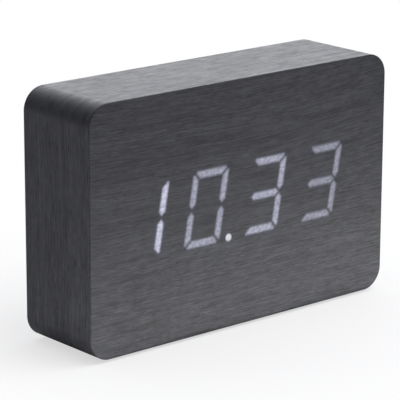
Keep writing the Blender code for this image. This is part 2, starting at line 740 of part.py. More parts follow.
def door_tab_places():
    spread = door_length / 2 * DOOR_TAB_SPREAD_SHARE
    return (-spread, spread)


def tab_corner():
    # the far corner of a door tab, from the hinge line: behind the cover's lip, and up past its edge
    return (hinge_depth - COVER_PLATE - FIT_GAP - DOOR_TAB_THICKNESS,
            hinge_depth + FIT_GAP + DOOR_TAB_REACH)


def add_back_cover():
    bm = bmesh.new()
    outline = rounded_rectangle(cover_width, cover_height, COVER_CORNER_RADIUS)
    add_slab(bm, outline, cover_inside, cover_outside)
    cover = add_part("back_cover", bm, "black_plastic", (0, 0, middle_z))

    bm = bmesh.new()
    walls = rounded_rectangle(bay_length + 2 * BAY_WALL, bay_height + 2 * BAY_WALL, BAY_WALL, SMALL_CORNER_STEPS)
    add_slab(bm, walls, bay_floor_front, cover_inside + ROOT)
    join(cover, add_tool("cover_bay_walls", bm, (bay_x, 0, bay_z)))
    bm = bmesh.new()
    for x, z in post_places():
        add_rod(bm, POST_DIAMETER, cover_inside - POST_HEIGHT, cover_inside + ROOT, x=x, z=z)
    join(cover, add_tool("cover_posts", bm))

    bm = bmesh.new()
    opening = flat_topped(door_opening_length, door_opening_height, DOOR_CORNER_RADIUS + FIT_GAP)
    add_slab(bm, opening, cover_inside, cover_outside + OVERRUN)
    cut(cover, add_tool("cover_door_opening", bm, (bay_x, 0, bay_z)))
    bm = bmesh.new()
    add_slab(bm, rounded_rectangle(bay_length, bay_height, BAY_CORNER_RADIUS, SMALL_CORNER_STEPS),
             bay_floor, cover_inside + OVERRUN)
    cut(cover, add_tool("cover_bay_room", bm, (bay_x, 0, bay_z)))

    bm = bmesh.new()
    swing = Vector(tab_corner()).length + FIT_GAP
    for x in door_tab_places():
        half = DOOR_TAB_WIDTH / 2 + FIT_GAP
        add_box(bm, (x - half, hinge_y - swing, bay_height / 2 - OVERRUN),
                (x + half, cover_inside + GLUE_LINE, bay_height / 2 + BAY_WALL + OVERRUN))
    cut(cover, add_tool("cover_tab_notches", bm, (bay_x, 0, bay_z)))
    bm = bmesh.new()
    half = door_opening_length / 2 - GLUE_LINE
    room = hinge_depth + FIT_GAP
    add_box(bm, (-half, hinge_y - room, hinge_z - room - bay_z),
            (half, cover_inside + GLUE_LINE, door_opening_height / 2 - GLUE_LINE))
    cut(cover, add_tool("cover_hinge_relief", bm, (bay_x, 0, bay_z)))

    bm = bmesh.new()
    thick = CONTACT_THICKNESS / 2 + FIT_GAP
    wide = CONTACT_TAIL_WIDTH / 2 + FIT_GAP
    wall = bay_length / 2
    add_box(bm, (-wall - BAY_WALL - OVERRUN, -thick, -wide), (OVERRUN - wall, thick, wide))
    cut(cover, add_tool("cover_plate_slot", bm, (bay_x, cell_y, cell_z(0))))
    bm = bmesh.new()
    add_rod(bm, SPRING_WIRE + 2 * FIT_GAP, wall - OVERRUN, wall + BAY_WALL + OVERRUN, SCREW_STEPS, axis="X")
    spring_z = cell_z(CELL_COUNT - 1) + SPRING_BASE_RADIUS
    cut(cover, add_tool("cover_spring_hole", bm, (bay_x, cell_y, spring_z)))

    bm = bmesh.new()
    pilot = BOARD_SCREW["shank"] + 2 * BITE_CLEARANCE
    pilot_end = board_screw_tip() + PILOT_TIP_ROOM
    for x, z in post_places():
        add_rod(bm, pilot, cover_inside - POST_HEIGHT - OVERRUN, pilot_end, SCREW_STEPS, x, z)
    inner = cover_inside - OVERRUN
    outer = cover_outside + OVERRUN
    for index in range(len(BUTTON_NAMES)):
        add_rod(bm, BUTTON_CAP_DIAMETER + 2 * FIT_GAP, inner, outer, ROUND_STEPS, button_x(index), button_row_z)
    add_rod(bm, JACK_COVER_HOLE, inner, outer, ROUND_STEPS, jack_x, jack_z)
    add_rod(bm, MICROPHONE_HOLE, inner, outer, HOLE_STEPS, control_x, microphone_z)
    sound_slot = rounded_rectangle(SOUND_SLOT_WIDTH, SOUND_SLOT_LENGTH, SOUND_SLOT_WIDTH * ROUND_END_SHARE,
                                   SMALL_CORNER_STEPS)
    for number in range(SOUND_SLOT_COUNT):
        x = buzzer_x + (number - (SOUND_SLOT_COUNT - 1) / 2) * SOUND_SLOT_PITCH
        add_slab(bm, moved(sound_slot, x, buzzer_z), inner, outer)
    for x, z in cover_screw_places():
        add_rod(bm, COVER_SCREW["shank"] + 2 * FIT_GAP, inner, outer, SCREW_STEPS, x, middle_z + z)
    cut(cover, add_tool("cover_holes", bm))
    bm = bmesh.new()
    seat = cover_outside - COUNTERBORE_DEPTH
    for x, z in cover_screw_places():
        add_rod(bm, COVER_SCREW["head"] + 2 * FIT_GAP, seat, outer, HOLE_STEPS, x, middle_z + z)
    cut(cover, add_tool("cover_counterbores", bm))
    for number, (x, z) in enumerate(cover_screw_places(), 1):
        add_screw(f"cover_screw_{number}", COVER_SCREW, "bright_metal", (x, cover_screw_seat(), middle_z + z),
                  towards_rear=True)


def add_bar(bm, profile, left, right):
    # a (y, z) profile filled at the left and drawn out to the right
    face = bm.faces.new([bm.verts.new((left, y, z)) for y, z in profile])
    drawn = bmesh.ops.extrude_face_region(bm, geom=[face], use_keep_orig=True)
    verts = [part for part in drawn["geom"] if isinstance(part, bmesh.types.BMVert)]
    bmesh.ops.translate(bm, verts=verts, vec=(right - left, 0, 0))


def add_battery_door():
    # the hinge line is at the origin, along X; the door's top edge is rounded about it
    hinge = bpy.data.objects.new("battery_door_hinge", None)
    hinge.location = (bay_x, hinge_y, hinge_z)
    bpy.context.scene.collection.objects.link(hinge)
    bottom = hinge_depth - door_height
    last = pi / 2 + asin(-door_inside / hinge_depth)
    nose = [(hinge_depth * cos(last * step / CORNER_STEPS), hinge_depth * sin(last * step / CORNER_STEPS))
            for step in range(CORNER_STEPS + 1)]
    bm = bmesh.new()
    add_bar(bm, nose + [(door_inside, bottom - OVERRUN), (hinge_depth, bottom - OVERRUN)],
            -door_length / 2 - OVERRUN, door_length / 2 + OVERRUN)
    door = add_part("battery_door", bm, "black_plastic", parent=hinge)
    panel = flat_topped(door_length, door_height + OVERRUN, DOOR_CORNER_RADIUS)
    bm = bmesh.new()
    add_slab(bm, moved(panel, 0, bottom + (door_height + OVERRUN) / 2), door_inside - OVERRUN,
             hinge_depth + OVERRUN)
    combine(door, add_tool("battery_door_outline", bm, parent=hinge), "INTERSECT")

    bm = bmesh.new()
    tongue_front, tongue_top = tab_corner()
    tongue_back = tongue_front + DOOR_TAB_THICKNESS
    inside = door_inside + ROOT
    profile = [(tongue_front, -DOOR_TAB_FOOT), (inside, -DOOR_TAB_FOOT), (inside, 0), (tongue_back, 0),
               (tongue_back, tongue_top), (tongue_front, tongue_top)]
    for x in door_tab_places():
        add_bar(bm, profile, x - DOOR_TAB_WIDTH / 2, x + DOOR_TAB_WIDTH / 2)
    latch_low = bottom + BAY_LEDGE - FIT_GAP + DOOR_LATCH_CLEARANCE
    add_box(bm, (-DOOR_LATCH_WIDTH / 2, door_inside - DOOR_LATCH_DEPTH, latch_low),
            (DOOR_LATCH_WIDTH / 2, inside, latch_low + DOOR_LATCH_THICKNESS))
    join(door, add_tool("battery_door_tabs", bm, parent=hinge))
    bm = bmesh.new()
    grip = rounded_rectangle(DOOR_GRIP_WIDTH, DOOR_GRIP_HEIGHT, DOOR_GRIP_HEIGHT * ROUND_END_SHARE,
                             SMALL_CORNER_STEPS)
    add_slab(bm, moved(grip, 0, bottom + DOOR_GRIP_HEIGHT), hinge_depth - DOOR_GRIP_DEPTH,
             hinge_depth + OVERRUN)
    cut(door, add_tool("battery_door_grip", bm, parent=hinge))


# Cells and their contacts
def facing(index):
    # the way that the nub of a cell points along X: cells in a row point opposite ways
    return -1 if index % 2 == 0 else 1


def add_cell(index):
    way = facing(index)
    nub_end = way * (bay_length / 2 - contact_room)
    shoulder = nub_end - way * CELL_NUB_LENGTH
    flat_end = nub_end - way * CELL_LENGTH
    radius = CELL_DIAMETER / 2
    nub = CELL_NUB_DIAMETER / 2
    bm = bmesh.new()
    add_turned(bm, [(0, nub_end), (nub, nub_end), (nub, shoulder), (radius - CELL_EDGE, shoulder),
                    (radius, shoulder - way * CELL_EDGE), (radius, flat_end + way * CELL_EDGE),
                    (radius - CELL_EDGE, flat_end), (0, flat_end)], axis="X")
    add_part(f"battery_{index + 1}", bm, "cell_wrap", (bay_x, cell_y, cell_z(index)), round_piece=True)


def add_contact_plate(index):
    way = facing(index)
    outer = way * (bay_length / 2 - FIT_GAP)
    inner = outer - way * CONTACT_THICKNESS
    half = CONTACT_WIDTH / 2
    place = (bay_x, cell_y, cell_z(index))
    bm = bmesh.new()
    add_box(bm, (min(outer, inner), -half, -half), (max(outer, inner), half, half))
    plate = add_part(f"battery_plate_{index + 1}", bm, "bright_metal", place)
    if index == 0:
        bm = bmesh.new()
        half = CONTACT_TAIL_WIDTH / 2
        thick = CONTACT_THICKNESS / 2
        reach = bay_length / 2 + BAY_WALL + CONTACT_TAIL_LENGTH
        add_box(bm, (-reach, -thick, -half), (outer + thick, thick, half))
        join(plate, add_tool("battery_plate_tail", bm, place))


def spring_points(index):
    # a cone of wire from its wide end at the bay wall to its narrow end at the cell
    way = -facing(index)
    wall = way * (bay_length / 2 - FIT_GAP - SPRING_WIRE / 2)
    points = []
    if index == CELL_COUNT - 1:
        outside = way * (bay_length / 2 + BAY_WALL + CONTACT_TAIL_LENGTH)
        points += [(outside, 0, SPRING_BASE_RADIUS), (wall, 0, SPRING_BASE_RADIUS)]
    count = round(SPRING_TURNS * SPRING_POINTS_PER_TURN)
    rise = SPRING_LENGTH - SPRING_WIRE
    for step in range(1 if points else 0, count + 1):
        share = step / count
        angle = 2 * pi * SPRING_TURNS * share
        radius = SPRING_BASE_RADIUS + (SPRING_TIP_RADIUS - SPRING_BASE_RADIUS) * share
        points.append((wall - way * rise * share, radius * sin(angle), radius * cos(angle)))
    return points


def least_gap(points, skip, wire):
    # the least room between parts of a tube that are further apart along it than the skip
    vectors = [Vector(point) for point in points]
    gaps = [(one - other).length for number, one in enumerate(vectors) for other in vectors[number + skip:]]
    return min(gaps) - wire


def add_tube(name, points, diameter, finish, place=(0, 0, 0), resolution=1):
    curve = bpy.data.curves.new(name, "CURVE")
    curve.dimensions = "3D"
    curve.bevel_depth = diameter / 2
    curve.bevel_resolution = resolution
    curve.use_fill_caps = True
    spline = curve.splines.new("POLY")
    spline.points.add(len(points) - 1)
    for target, point in zip(spline.points, points):
        target.co = (*point, 1)
    tube = bpy.data.objects.new(name, curve)
    tube.location = place
    curve.materials.append(finish_material(name, finish))
    bpy.context.scene.collection.objects.link(tube)


def add_spring(index):
    name = f"battery_spring_{index + 1}"
    points = spring_points(index)
    gap = least_gap(points, SPRING_POINTS_PER_TURN // 2, SPRING_WIRE)
    print(f"{name}: least gap to itself {gap * 1000:.2f} mm, wanted over {SPRING_GAP_WANTED * 1000} mm")
    add_tube(name, points, SPRING_WIRE, "bright_metal", (bay_x, cell_y, cell_z(index)))


# Control board
def board_screw_tip():
    return control_front - GLUE_LINE + BOARD_SCREW["length"]


def add_control_board():
    outline = rounded_rectangle(control_width, control_up + control_down, WINDOW_CORNER_RADIUS, SMALL_CORNER_STEPS)
    outline = moved(outline, control_x, control_z + (control_up - control_down) / 2)
    bm = bmesh.new()
    add_slab(bm, outline, control_front, control_back)
    board = add_part("control_board", bm, "circuit_board")
    bm = bmesh.new()
    hole = BOARD_SCREW["shank"] + 2 * FIT_GAP
    for x, z in post_places():
        add_rod(bm, hole, control_front - OVERRUN, control_back + OVERRUN, x=x, z=z)
    cut(board, add_tool("control_board_holes", bm))
    for number, (x, z) in enumerate(post_places(), 1):
        add_screw(f"control_board_screw_{number}", BOARD_SCREW, "bright_metal", (x, control_front - GLUE_LINE, z),
                  towards_rear=False)


def add_button(index):
    name = BUTTON_NAMES[index]
    axis = bpy.data.objects.new(name + "_axis", None)
    axis.location = (button_x(index), cover_outside, button_row_z)
    bpy.context.scene.collection.objects.link(axis)

    bm = bmesh.new()
    flange_back = -COVER_PLATE - FIT_GAP
    flange_front = flange_back - BUTTON_FLANGE
    stem_end = plunger_tip + GLUE_LINE - cover_outside
    cap = BUTTON_CAP_DIAMETER / 2
    flange = BUTTON_FLANGE_DIAMETER / 2
    stem = BUTTON_STEM_DIAMETER / 2
    corner = BUTTON_EDGE * BUTTON_EDGE_SHARE
    add_turned(bm, [(0, stem_end), (stem, stem_end), (stem, flange_front), (flange, flange_front),
                    (flange, flange_back), (cap, flange_back), (cap, BUTTON_PROUD - BUTTON_EDGE),
                    (cap - corner, BUTTON_PROUD - corner), (cap - BUTTON_EDGE, BUTTON_PROUD),
                    (cap / 2, BUTTON_PROUD - BUTTON_DISH * BUTTON_DISH_SHARE), (0, BUTTON_PROUD - BUTTON_DISH)])
    add_part(name, bm, "black_plastic", parent=axis, round_piece=True)

    bm = bmesh.new()
    switch_top = on_board + SWITCH_HEIGHT
    add_rod(bm, PLUNGER_DIAMETER, switch_top - PLUNGER_IN - cover_outside, plunger_tip - cover_outside)
    add_part(f"switch_plunger_{index + 1}", bm, "chip_black", parent=axis, round_piece=True)

    bm = bmesh.new()
    half = SWITCH_WIDTH / 2
    place = (button_x(index), 0, button_row_z)
    add_box(bm, (-half, on_board, -half), (half, switch_top, half))
    body = add_part(f"switch_body_{index + 1}", bm, "chip_black", place)
    bm = bmesh.new()
    add_rod(bm, PLUNGER_DIAMETER + 2 * FIT_GAP, switch_top - PLUNGER_BORE_DEPTH, switch_top + OVERRUN)
    cut(body, add_tool(f"switch_bore_{index + 1}", bm, place))


def add_dc_jack():
    place = (jack_x, 0, jack_z)
    mouth = cover_inside - FIT_GAP
    half = JACK_WIDTH / 2
    bm = bmesh.new()
    add_box(bm, (-half, on_board, -half), (half, mouth, half))
    jack = add_part("dc_jack", bm, "black_plastic", place)
    bm = bmesh.new()
    floor = mouth - JACK_BORE_DEPTH
    pin_tip = mouth - JACK_PIN_DROP
    pin = JACK_PIN_DIAMETER / 2
    bore = JACK_BORE / 2
    add_turned(bm, [(0, pin_tip), (pin, pin_tip), (pin, floor), (bore, floor), (bore, mouth + OVERRUN),
                    (0, mouth + OVERRUN)])
    cut(jack, add_tool("dc_jack_bore", bm, place))


def add_round_components():
    bm = bmesh.new()
    add_turned(bm, [(0, 0), (BUZZER_DIAMETER / 2, 0), (BUZZER_DIAMETER / 2, BUZZER_HEIGHT),
                    (BUZZER_HOLE / 2, BUZZER_HEIGHT), (BUZZER_HOLE / 2, BUZZER_HEIGHT - BUZZER_HOLE_DEPTH),
                    (0, BUZZER_HEIGHT - BUZZER_HOLE_DEPTH)])
    add_part("buzzer", bm, "chip_black", (buzzer_x, on_board, buzzer_z), round_piece=True)

    bm = bmesh.new()
    face = MICROPHONE_HEIGHT - MICROPHONE_FACE_DEPTH
    add_turned(bm, [(0, 0), (MICROPHONE_DIAMETER / 2, 0), (MICROPHONE_DIAMETER / 2, MICROPHONE_HEIGHT),
                    (MICROPHONE_FACE_DIAMETER / 2, MICROPHONE_HEIGHT), (MICROPHONE_FACE_DIAMETER / 2, face),
                    (0, face)])
    add_part("microphone", bm, "bright_metal", (control_x, on_board, microphone_z), round_piece=True)

    bm = bmesh.new()
    radius = CAPACITOR_DIAMETER / 2
    groove = CAPACITOR_HEIGHT * CAPACITOR_GROOVE_SHARE
    add_turned(bm, [(0, 0), (radius, 0), (radius, groove - CAPACITOR_GROOVE), (radius - CAPACITOR_GROOVE, groove),
                    (radius, groove + CAPACITOR_GROOVE), (radius, CAPACITOR_HEIGHT), (0, CAPACITOR_HEIGHT)])
    place = (capacitor_x, on_board, control_z)
    add_part("smoothing_capacitor", bm, "capacitor_sleeve", place, round_piece=True)

    bm = bmesh.new()
    add_rod(bm, CRYSTAL_DIAMETER, -CRYSTAL_LENGTH / 2, CRYSTAL_LENGTH / 2, axis="X")
    add_part("clock_crystal", bm, "bright_metal",
             (control_x + CRYSTAL_RIGHT, on_board + CRYSTAL_DIAMETER / 2, control_z), round_piece=True)


# Wiring
def smooth_route(anchors, spacing):
    # points at an even spacing along a smooth curve through the anchors
    vectors = [Vector(anchor) for anchor in anchors]
    vectors = [2 * vectors[0] - vectors[1]] + vectors + [2 * vectors[-1] - vectors[-2]]
    points = []
    for a, b, c, d in zip(vectors, vectors[1:], vectors[2:], vectors[3:]):
        steps = max(2, round((c - b).length / spacing))
        for step in range(steps):
            t = step / steps
            points.append((2 * b + (c - a) * t + (2 * a - 5 * b + 4 * c - d) * t ** 2
                           + (3 * b - a - 3 * c + d) * t ** 3) / 2)
    return points + [vectors[-2]]


def add_battery_leads():
    left_end = bay_x - bay_length / 2 - BAY_WALL
    right_end = bay_x + bay_length / 2 + BAY_WALL
    tail = CONTACT_TAIL_LENGTH + FIT_GAP
    red_z = control_z + RED_LEAD_UP
    red = [(left_end - tail, cell_y, cell_z(0)),
           (left_end - tail - LEAD_RUN_OUT, cell_y, cell_z(0)),
           (landing_x + LEAD_RUN_OUT, cell_y + LEAD_DIAMETER, red_z),
           (landing_x, on_board + LEAD_RUN_OUT, red_z),
           (landing_x, on_board, red_z)]
    route = smooth_route(red, LEAD_SPACING)
    add_tube("battery_lead_red", route, LEAD_DIAMETER, "red_insulation", resolution=2)

    tail_z = cell_z(CELL_COUNT - 1) + SPRING_BASE_RADIUS
    run_z = bay_z - bay_height / 2 - BAY_WALL - BLACK_LEAD_BELOW_BAY
    black_z = control_z - BLACK_LEAD_DOWN
    black = [(right_end + tail, cell_y, tail_z),
             (right_end + tail + LEAD_RUN_OUT, cell_y, tail_z - LEAD_RUN_OUT),
             (right_end + LEAD_RUN_OUT, cell_y, run_z + LEAD_RUN_OUT),
             (right_end - LEAD_RUN_OUT, cell_y, run_z),
             (bay_x, cell_y, run_z),
             (left_end, cell_y, run_z),
             (landing_x + LEAD_RUN_OUT, cell_y, black_z - LEAD_RUN_OUT),
             (landing_x, on_board + LEAD_RUN_OUT, black_z),
             (landing_x, on_board, black_z)]
    route = smooth_route(black, LEAD_SPACING)
    add_tube("battery_lead_black", route, LEAD_DIAMETER, "black_insulation", resolution=2)


def add_ribbon_cable():
    # a flat strip from board to board that hangs down between them
    start = display_board_back + GLUE_LINE
    end = control_front - GLUE_LINE
    middle = []
    for step in range(RIBBON_STEPS + 1):
        share = step / RIBBON_STEPS
        middle.append(Vector((0, start + (end - start) * share, -RIBBON_DROP * sin(pi * share) ** 2)))
    bm = bmesh.new()
    rings = []
    for step, point in enumerate(middle):
        ahead = middle[min(step + 1, RIBBON_STEPS)] - middle[max(step - 1, 0)]
        if step in (0, RIBBON_STEPS):
            ahead = Vector((0, 1, 0))
        up = Vector((1, 0, 0)).cross(ahead).normalized() * (RIBBON_THICKNESS / 2)
        side = Vector((RIBBON_WIDTH / 2, 0, 0))
        rings.append([bm.verts.new(point + corner) for corner in (side + up, up - side, -side - up, side - up)])
    for ring, following in zip(rings, rings[1:]):
        for k in range(4):
            bm.faces.new((ring[k], ring[(k + 1) % 4], following[(k + 1) % 4], following[k]))
    bm.faces.new(rings[0])
    bm.faces.new(rings[-1])
    add_part("ribbon_cable", bm, "grey_insulation", (control_x, 0, control_z - RIBBON_DOWN))


def build():
    for old in list(bpy.data.objects):
        bpy.data.objects.remove(old, do_unlink=True)
    add_veneers()
    add_front_board()
    add_case_ring()
    add_foot_pads()
    add_reflector()
    for index in range(DIGIT_COUNT):
        add_diffuser(index)
    add_display_board()
    driver_place = (display_x - DRIVER_CHIP_LEFT, display_board_back + GLUE_LINE, display_z)
    add_chip("display_driver_chip", driver_place, towards_rear=True)
    add_back_cover()
    add_battery_door()
    for index in range(CELL_COUNT):
        add_cell(index)
        add_contact_plate(index)
        add_spring(index)
    add_control_board()
    control_chip_place = (control_x, control_front - GLUE_LINE, control_z + CONTROL_CHIP_UP)
    add_chip("control_chip", control_chip_place, towards_rear=False)
    for index in range(len(BUTTON_NAMES)):
        add_button(index)
    add_dc_jack()
    add_round_components()
    add_battery_leads()
    add_ribbon_cable()
    print(f"case {case_width * 1000:.2f} x {case_depth * 1000:.2f} x {case_height * 1000:.2f} mm")


build()
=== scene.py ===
import bpy
import bmesh
import json
from math import asin, atan2, cos, hypot, pi, radians, sin, tan
from mathutils import Matrix, Vector


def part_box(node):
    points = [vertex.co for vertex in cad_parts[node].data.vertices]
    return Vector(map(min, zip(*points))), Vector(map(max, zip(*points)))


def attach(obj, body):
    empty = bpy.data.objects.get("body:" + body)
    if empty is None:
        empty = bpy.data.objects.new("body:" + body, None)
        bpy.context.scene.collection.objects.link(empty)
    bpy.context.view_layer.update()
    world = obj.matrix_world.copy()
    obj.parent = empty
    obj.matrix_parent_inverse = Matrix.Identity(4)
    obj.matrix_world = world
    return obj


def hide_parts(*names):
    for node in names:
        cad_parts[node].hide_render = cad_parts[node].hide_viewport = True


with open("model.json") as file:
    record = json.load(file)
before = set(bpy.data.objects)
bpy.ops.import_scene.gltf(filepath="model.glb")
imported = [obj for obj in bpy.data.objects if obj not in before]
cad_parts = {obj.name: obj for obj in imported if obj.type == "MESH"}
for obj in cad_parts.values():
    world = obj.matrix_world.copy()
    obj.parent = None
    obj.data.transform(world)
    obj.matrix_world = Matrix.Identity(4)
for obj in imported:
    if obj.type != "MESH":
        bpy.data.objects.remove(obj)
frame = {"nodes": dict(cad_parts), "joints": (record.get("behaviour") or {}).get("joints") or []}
for startName in ("Cube", "Light", "Camera"):
    if startName in bpy.data.objects:
        bpy.data.objects.remove(bpy.data.objects[startName], do_unlink=True)
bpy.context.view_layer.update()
print("frame loaded:", len(frame["nodes"]), "CAD nodes")

mm = 0.001
tiny = 1e-6  # closer than this is the same place
beyond = 1 * mm  # how far a cutter reaches past what it cuts
sharpAngle = radians(32)  # a steeper edge is shaded as an edge
sameFlat = radians(0.5)  # faces that turn less than this are one flat face
nearlyHalf = 0.498  # of a slot's width, for its round ends


# small helpers for nodes
def newNode(tree, kind, inputs=None, **settings):
    node = tree.nodes.new("ShaderNode" + kind)
    for key, value in settings.items():
        setattr(node, key, value)
    for key, value in (inputs or {}).items():
        if isinstance(value, bpy.types.NodeSocket):
            tree.links.new(value, node.inputs[key])
        else:
            node.inputs[key].default_value = value
    return node


def feed(tree, node, **values):
    for key, value in values.items():
        tree.links.new(value, node.inputs[key.replace("_", " ")])


def mathNode(tree, operation, *values, clamp=False):
    inputs = dict(enumerate(values))
    return newNode(tree, "Math", inputs, operation=operation, use_clamp=clamp).outputs[0]


def product(tree, first, second):
    return mathNode(tree, "MULTIPLY", first, second)


def weighted(tree, *pairs):
    # each value times its weight, added up
    total = 0.0
    for value, weight in pairs:
        total = mathNode(tree, "MULTIPLY_ADD", value, weight, total)
    return total


def mixColour(tree, factor, first, second, blend="MIX"):
    colours = [(*value, 1) if isinstance(value, tuple) else value for value in (first, second)]
    return newNode(tree, "Mix", {0: factor, 6: colours[0], 7: colours[1]}, data_type="RGBA",
                   blend_type=blend).outputs[2]


def spread(tree, value, fromLow, fromHigh, toLow=0.0, toHigh=1.0, smooth=False):
    kind = "SMOOTHSTEP" if smooth else "LINEAR"
    return newNode(tree, "MapRange", {0: value, 1: fromLow, 2: fromHigh, 3: toLow, 4: toHigh},
                   interpolation_type=kind, clamp=True).outputs[0]


def noise(tree, vector, scale, detail=3.0, roughness=0.55, offset=(0, 0, 0)):
    # the scale is one number, or one for each axis
    if isinstance(scale, tuple):
        vector = newNode(tree, "Mapping", {"Vector": vector, "Scale": scale, "Location": offset}).outputs[0]
        scale = 1.0
    inputs = {"Vector": vector, "Scale": scale, "Detail": detail, "Roughness": roughness}
    return newNode(tree, "TexNoise", inputs).outputs["Fac"]


def newGroup(name, inputs, outputs):
    group = bpy.data.node_groups.new(name, "ShaderNodeTree")
    for way, ends in (("INPUT", inputs), ("OUTPUT", dict.fromkeys(outputs, "Float"))):
        for endName, kind in ends.items():
            group.interface.new_socket(name=endName, in_out=way, socket_type="NodeSocket" + kind)
    return group, group.nodes.new("NodeGroupInput").outputs, group.nodes.new("NodeGroupOutput")


def useGroup(tree, group, inputs):
    return newNode(tree, "Group", inputs, node_tree=group).outputs


def newMaterial(name, roughness=0.5, metallic=0.0, **constants):
    material = bpy.data.materials.new(name)
    material.use_nodes = True
    shader = material.node_tree.nodes["Principled BSDF"]
    shader.inputs["Roughness"].default_value = roughness
    shader.inputs["Metallic"].default_value = metallic
    for key, value in constants.items():
        shader.inputs[key.replace("_", " ")].default_value = value
    return material, material.node_tree, shader


def bumpInto(tree, shader, height, strength, distance):
    bump = newNode(tree, "Bump", {"Height": height, "Strength": strength, "Distance": distance})
    feed(tree, shader, Normal=bump.outputs[0])


def objectPlace(tree):
    return newNode(tree, "TexCoord").outputs["Object"]


# effects that several materials share; each layer of the wood is its changes per metre along x, y and z, its
# offset, its detail and its roughness
woodLayers = {
    "drift": ((7, 11, 7), (2.2, 0.7, 0), 1.0, 0.55),
    "wander": ((14, 70, 14), (0, 0, 0), 2.0, 0.55),
    "tone": ((7, 110, 7), (0, 0, 0), 3.0, 0.5),
    "streaks": ((28, 1350, 28), (3.1, 1.7, 0), 3.0, 0.6),
    "dashes": ((120, 1400, 120), (6.6, 3.4, 0), 3.0, 0.6),
    "flecks": ((360, 1500, 360), (4.7, 2.2, 0), 2.0, 0.6),
    "blotches": ((110, 330, 110), (1.3, 4.1, 0), 3.0, 0.6),
    "fibres": ((140, 1850, 140), (0.4, 7.3, 0), 3.0, 0.6),
    "clusters": ((35, 190, 35), (5.6, 0.9, 0), 2.0, 0.55),
    "pores": ((230, 2000, 230), (8.2, 2.6, 0), 1.0, 0.4),
}
woodShifts = {"drift": 0.010, "wander": 0.0018}
woodLines = {"streaks": 0.55, "dashes": 0.22, "flecks": 0.23}


def makeWoodGrain():
    # x runs along the grain and y across it, both in metres
    tree, source, out = newGroup("woodGrain", {"Vector": "Vector", "Pore Amount": "Float"},
                                 ("Tone", "Streaks", "Blotches", "Fibres", "Pores", "Height"))

    def layer(name, vector):
        scale, offset, detail, roughness = woodLayers[name]
        return noise(tree, vector, scale, detail, roughness, offset)

    # the lines drift slowly over the width of a sheet and waver a little on the way
    place = source["Vector"]
    shift = weighted(tree, *[(mathNode(tree, "SUBTRACT", layer(name, place), 0.5), reach)
                             for name, reach in woodShifts.items()])
    x, y, z = newNode(tree, "SeparateXYZ", {0: place}).outputs
    bent = newNode(tree, "CombineXYZ", {0: x, 1: mathNode(tree, "ADD", y, shift), 2: z}).outputs[0]
    streaks = weighted(tree, *[(layer(name, bent), share) for name, share in woodLines.items()])
    # short pale fibres in clusters and short dark pores, each a few millimetres long
    fibres = product(tree, spread(tree, layer("fibres", bent), 0.52, 0.76, smooth=True),
                     spread(tree, layer("clusters", bent), 0.38, 0.62, 0.3, 1))
    pores = product(tree, spread(tree, layer("pores", bent), 0.57, 0.75, smooth=True), source["Pore Amount"])
    height = weighted(tree, (streaks, 0.6), (fibres, 0.3), (pores, -0.55))
    feed(tree, out, Tone=layer("tone", bent), Streaks=streaks, Blotches=layer("blotches", bent),
         Fibres=fibres, Pores=pores, Height=height)
    return tree


def makeMouldedTexture():
    tree, source, out = newGroup("mouldedTexture", {"Vector": "Vector", "Scale": "Float"},
                                 ("Height", "Speckle", "Clouds"))
    place = source["Vector"]
    inputs = {"Vector": place, "Scale": source["Scale"]}
    grains = newNode(tree, "TexVoronoi", inputs, feature="SMOOTH_F1").outputs["Distance"]
    soft = noise(tree, place, 900.0)
    feed(tree, out, Height=weighted(tree, (grains, 0.7), (soft, 0.5)), Speckle=soft,
         Clouds=noise(tree, place, 45.0, 4.0, 0.6))
    return tree


woodGrain = makeWoodGrain()
mouldedTexture = makeMouldedTexture()
print("shared effects made")

# black-stained veneer with the lamps' light coming through it
veneerLook = {
    "dark": (0.0078, 0.0080, 0.0102),
    "pale": (0.0425, 0.0430, 0.0505),
    "fibre": (0.082, 0.083, 0.096),
    "pore": (0.004, 0.004, 0.005),
    "paleness": {"Streaks": (0.42, 0.58, 0.52), "Tone": (0.34, 0.66, 0.24), "Blotches": (0.38, 0.62, 0.24)},
    "fibreShare": 0.65,
    "poreAmount": 0.7,
    "roughness": (0.50, 0.36),
    "bump": 0.30,
    "glow": (0.350, 0.350, 0.435),
    "dotGlow": (0.335, 0.335, 0.365),
    "dotAbove": 1.65,
    "halo": (0.006, 0.008, 0.020),
    "strokeEdge": (2.45, 3.95),
    "mottle": (0.75, 1.24),
    "veil": (1.16, 0.66),
}


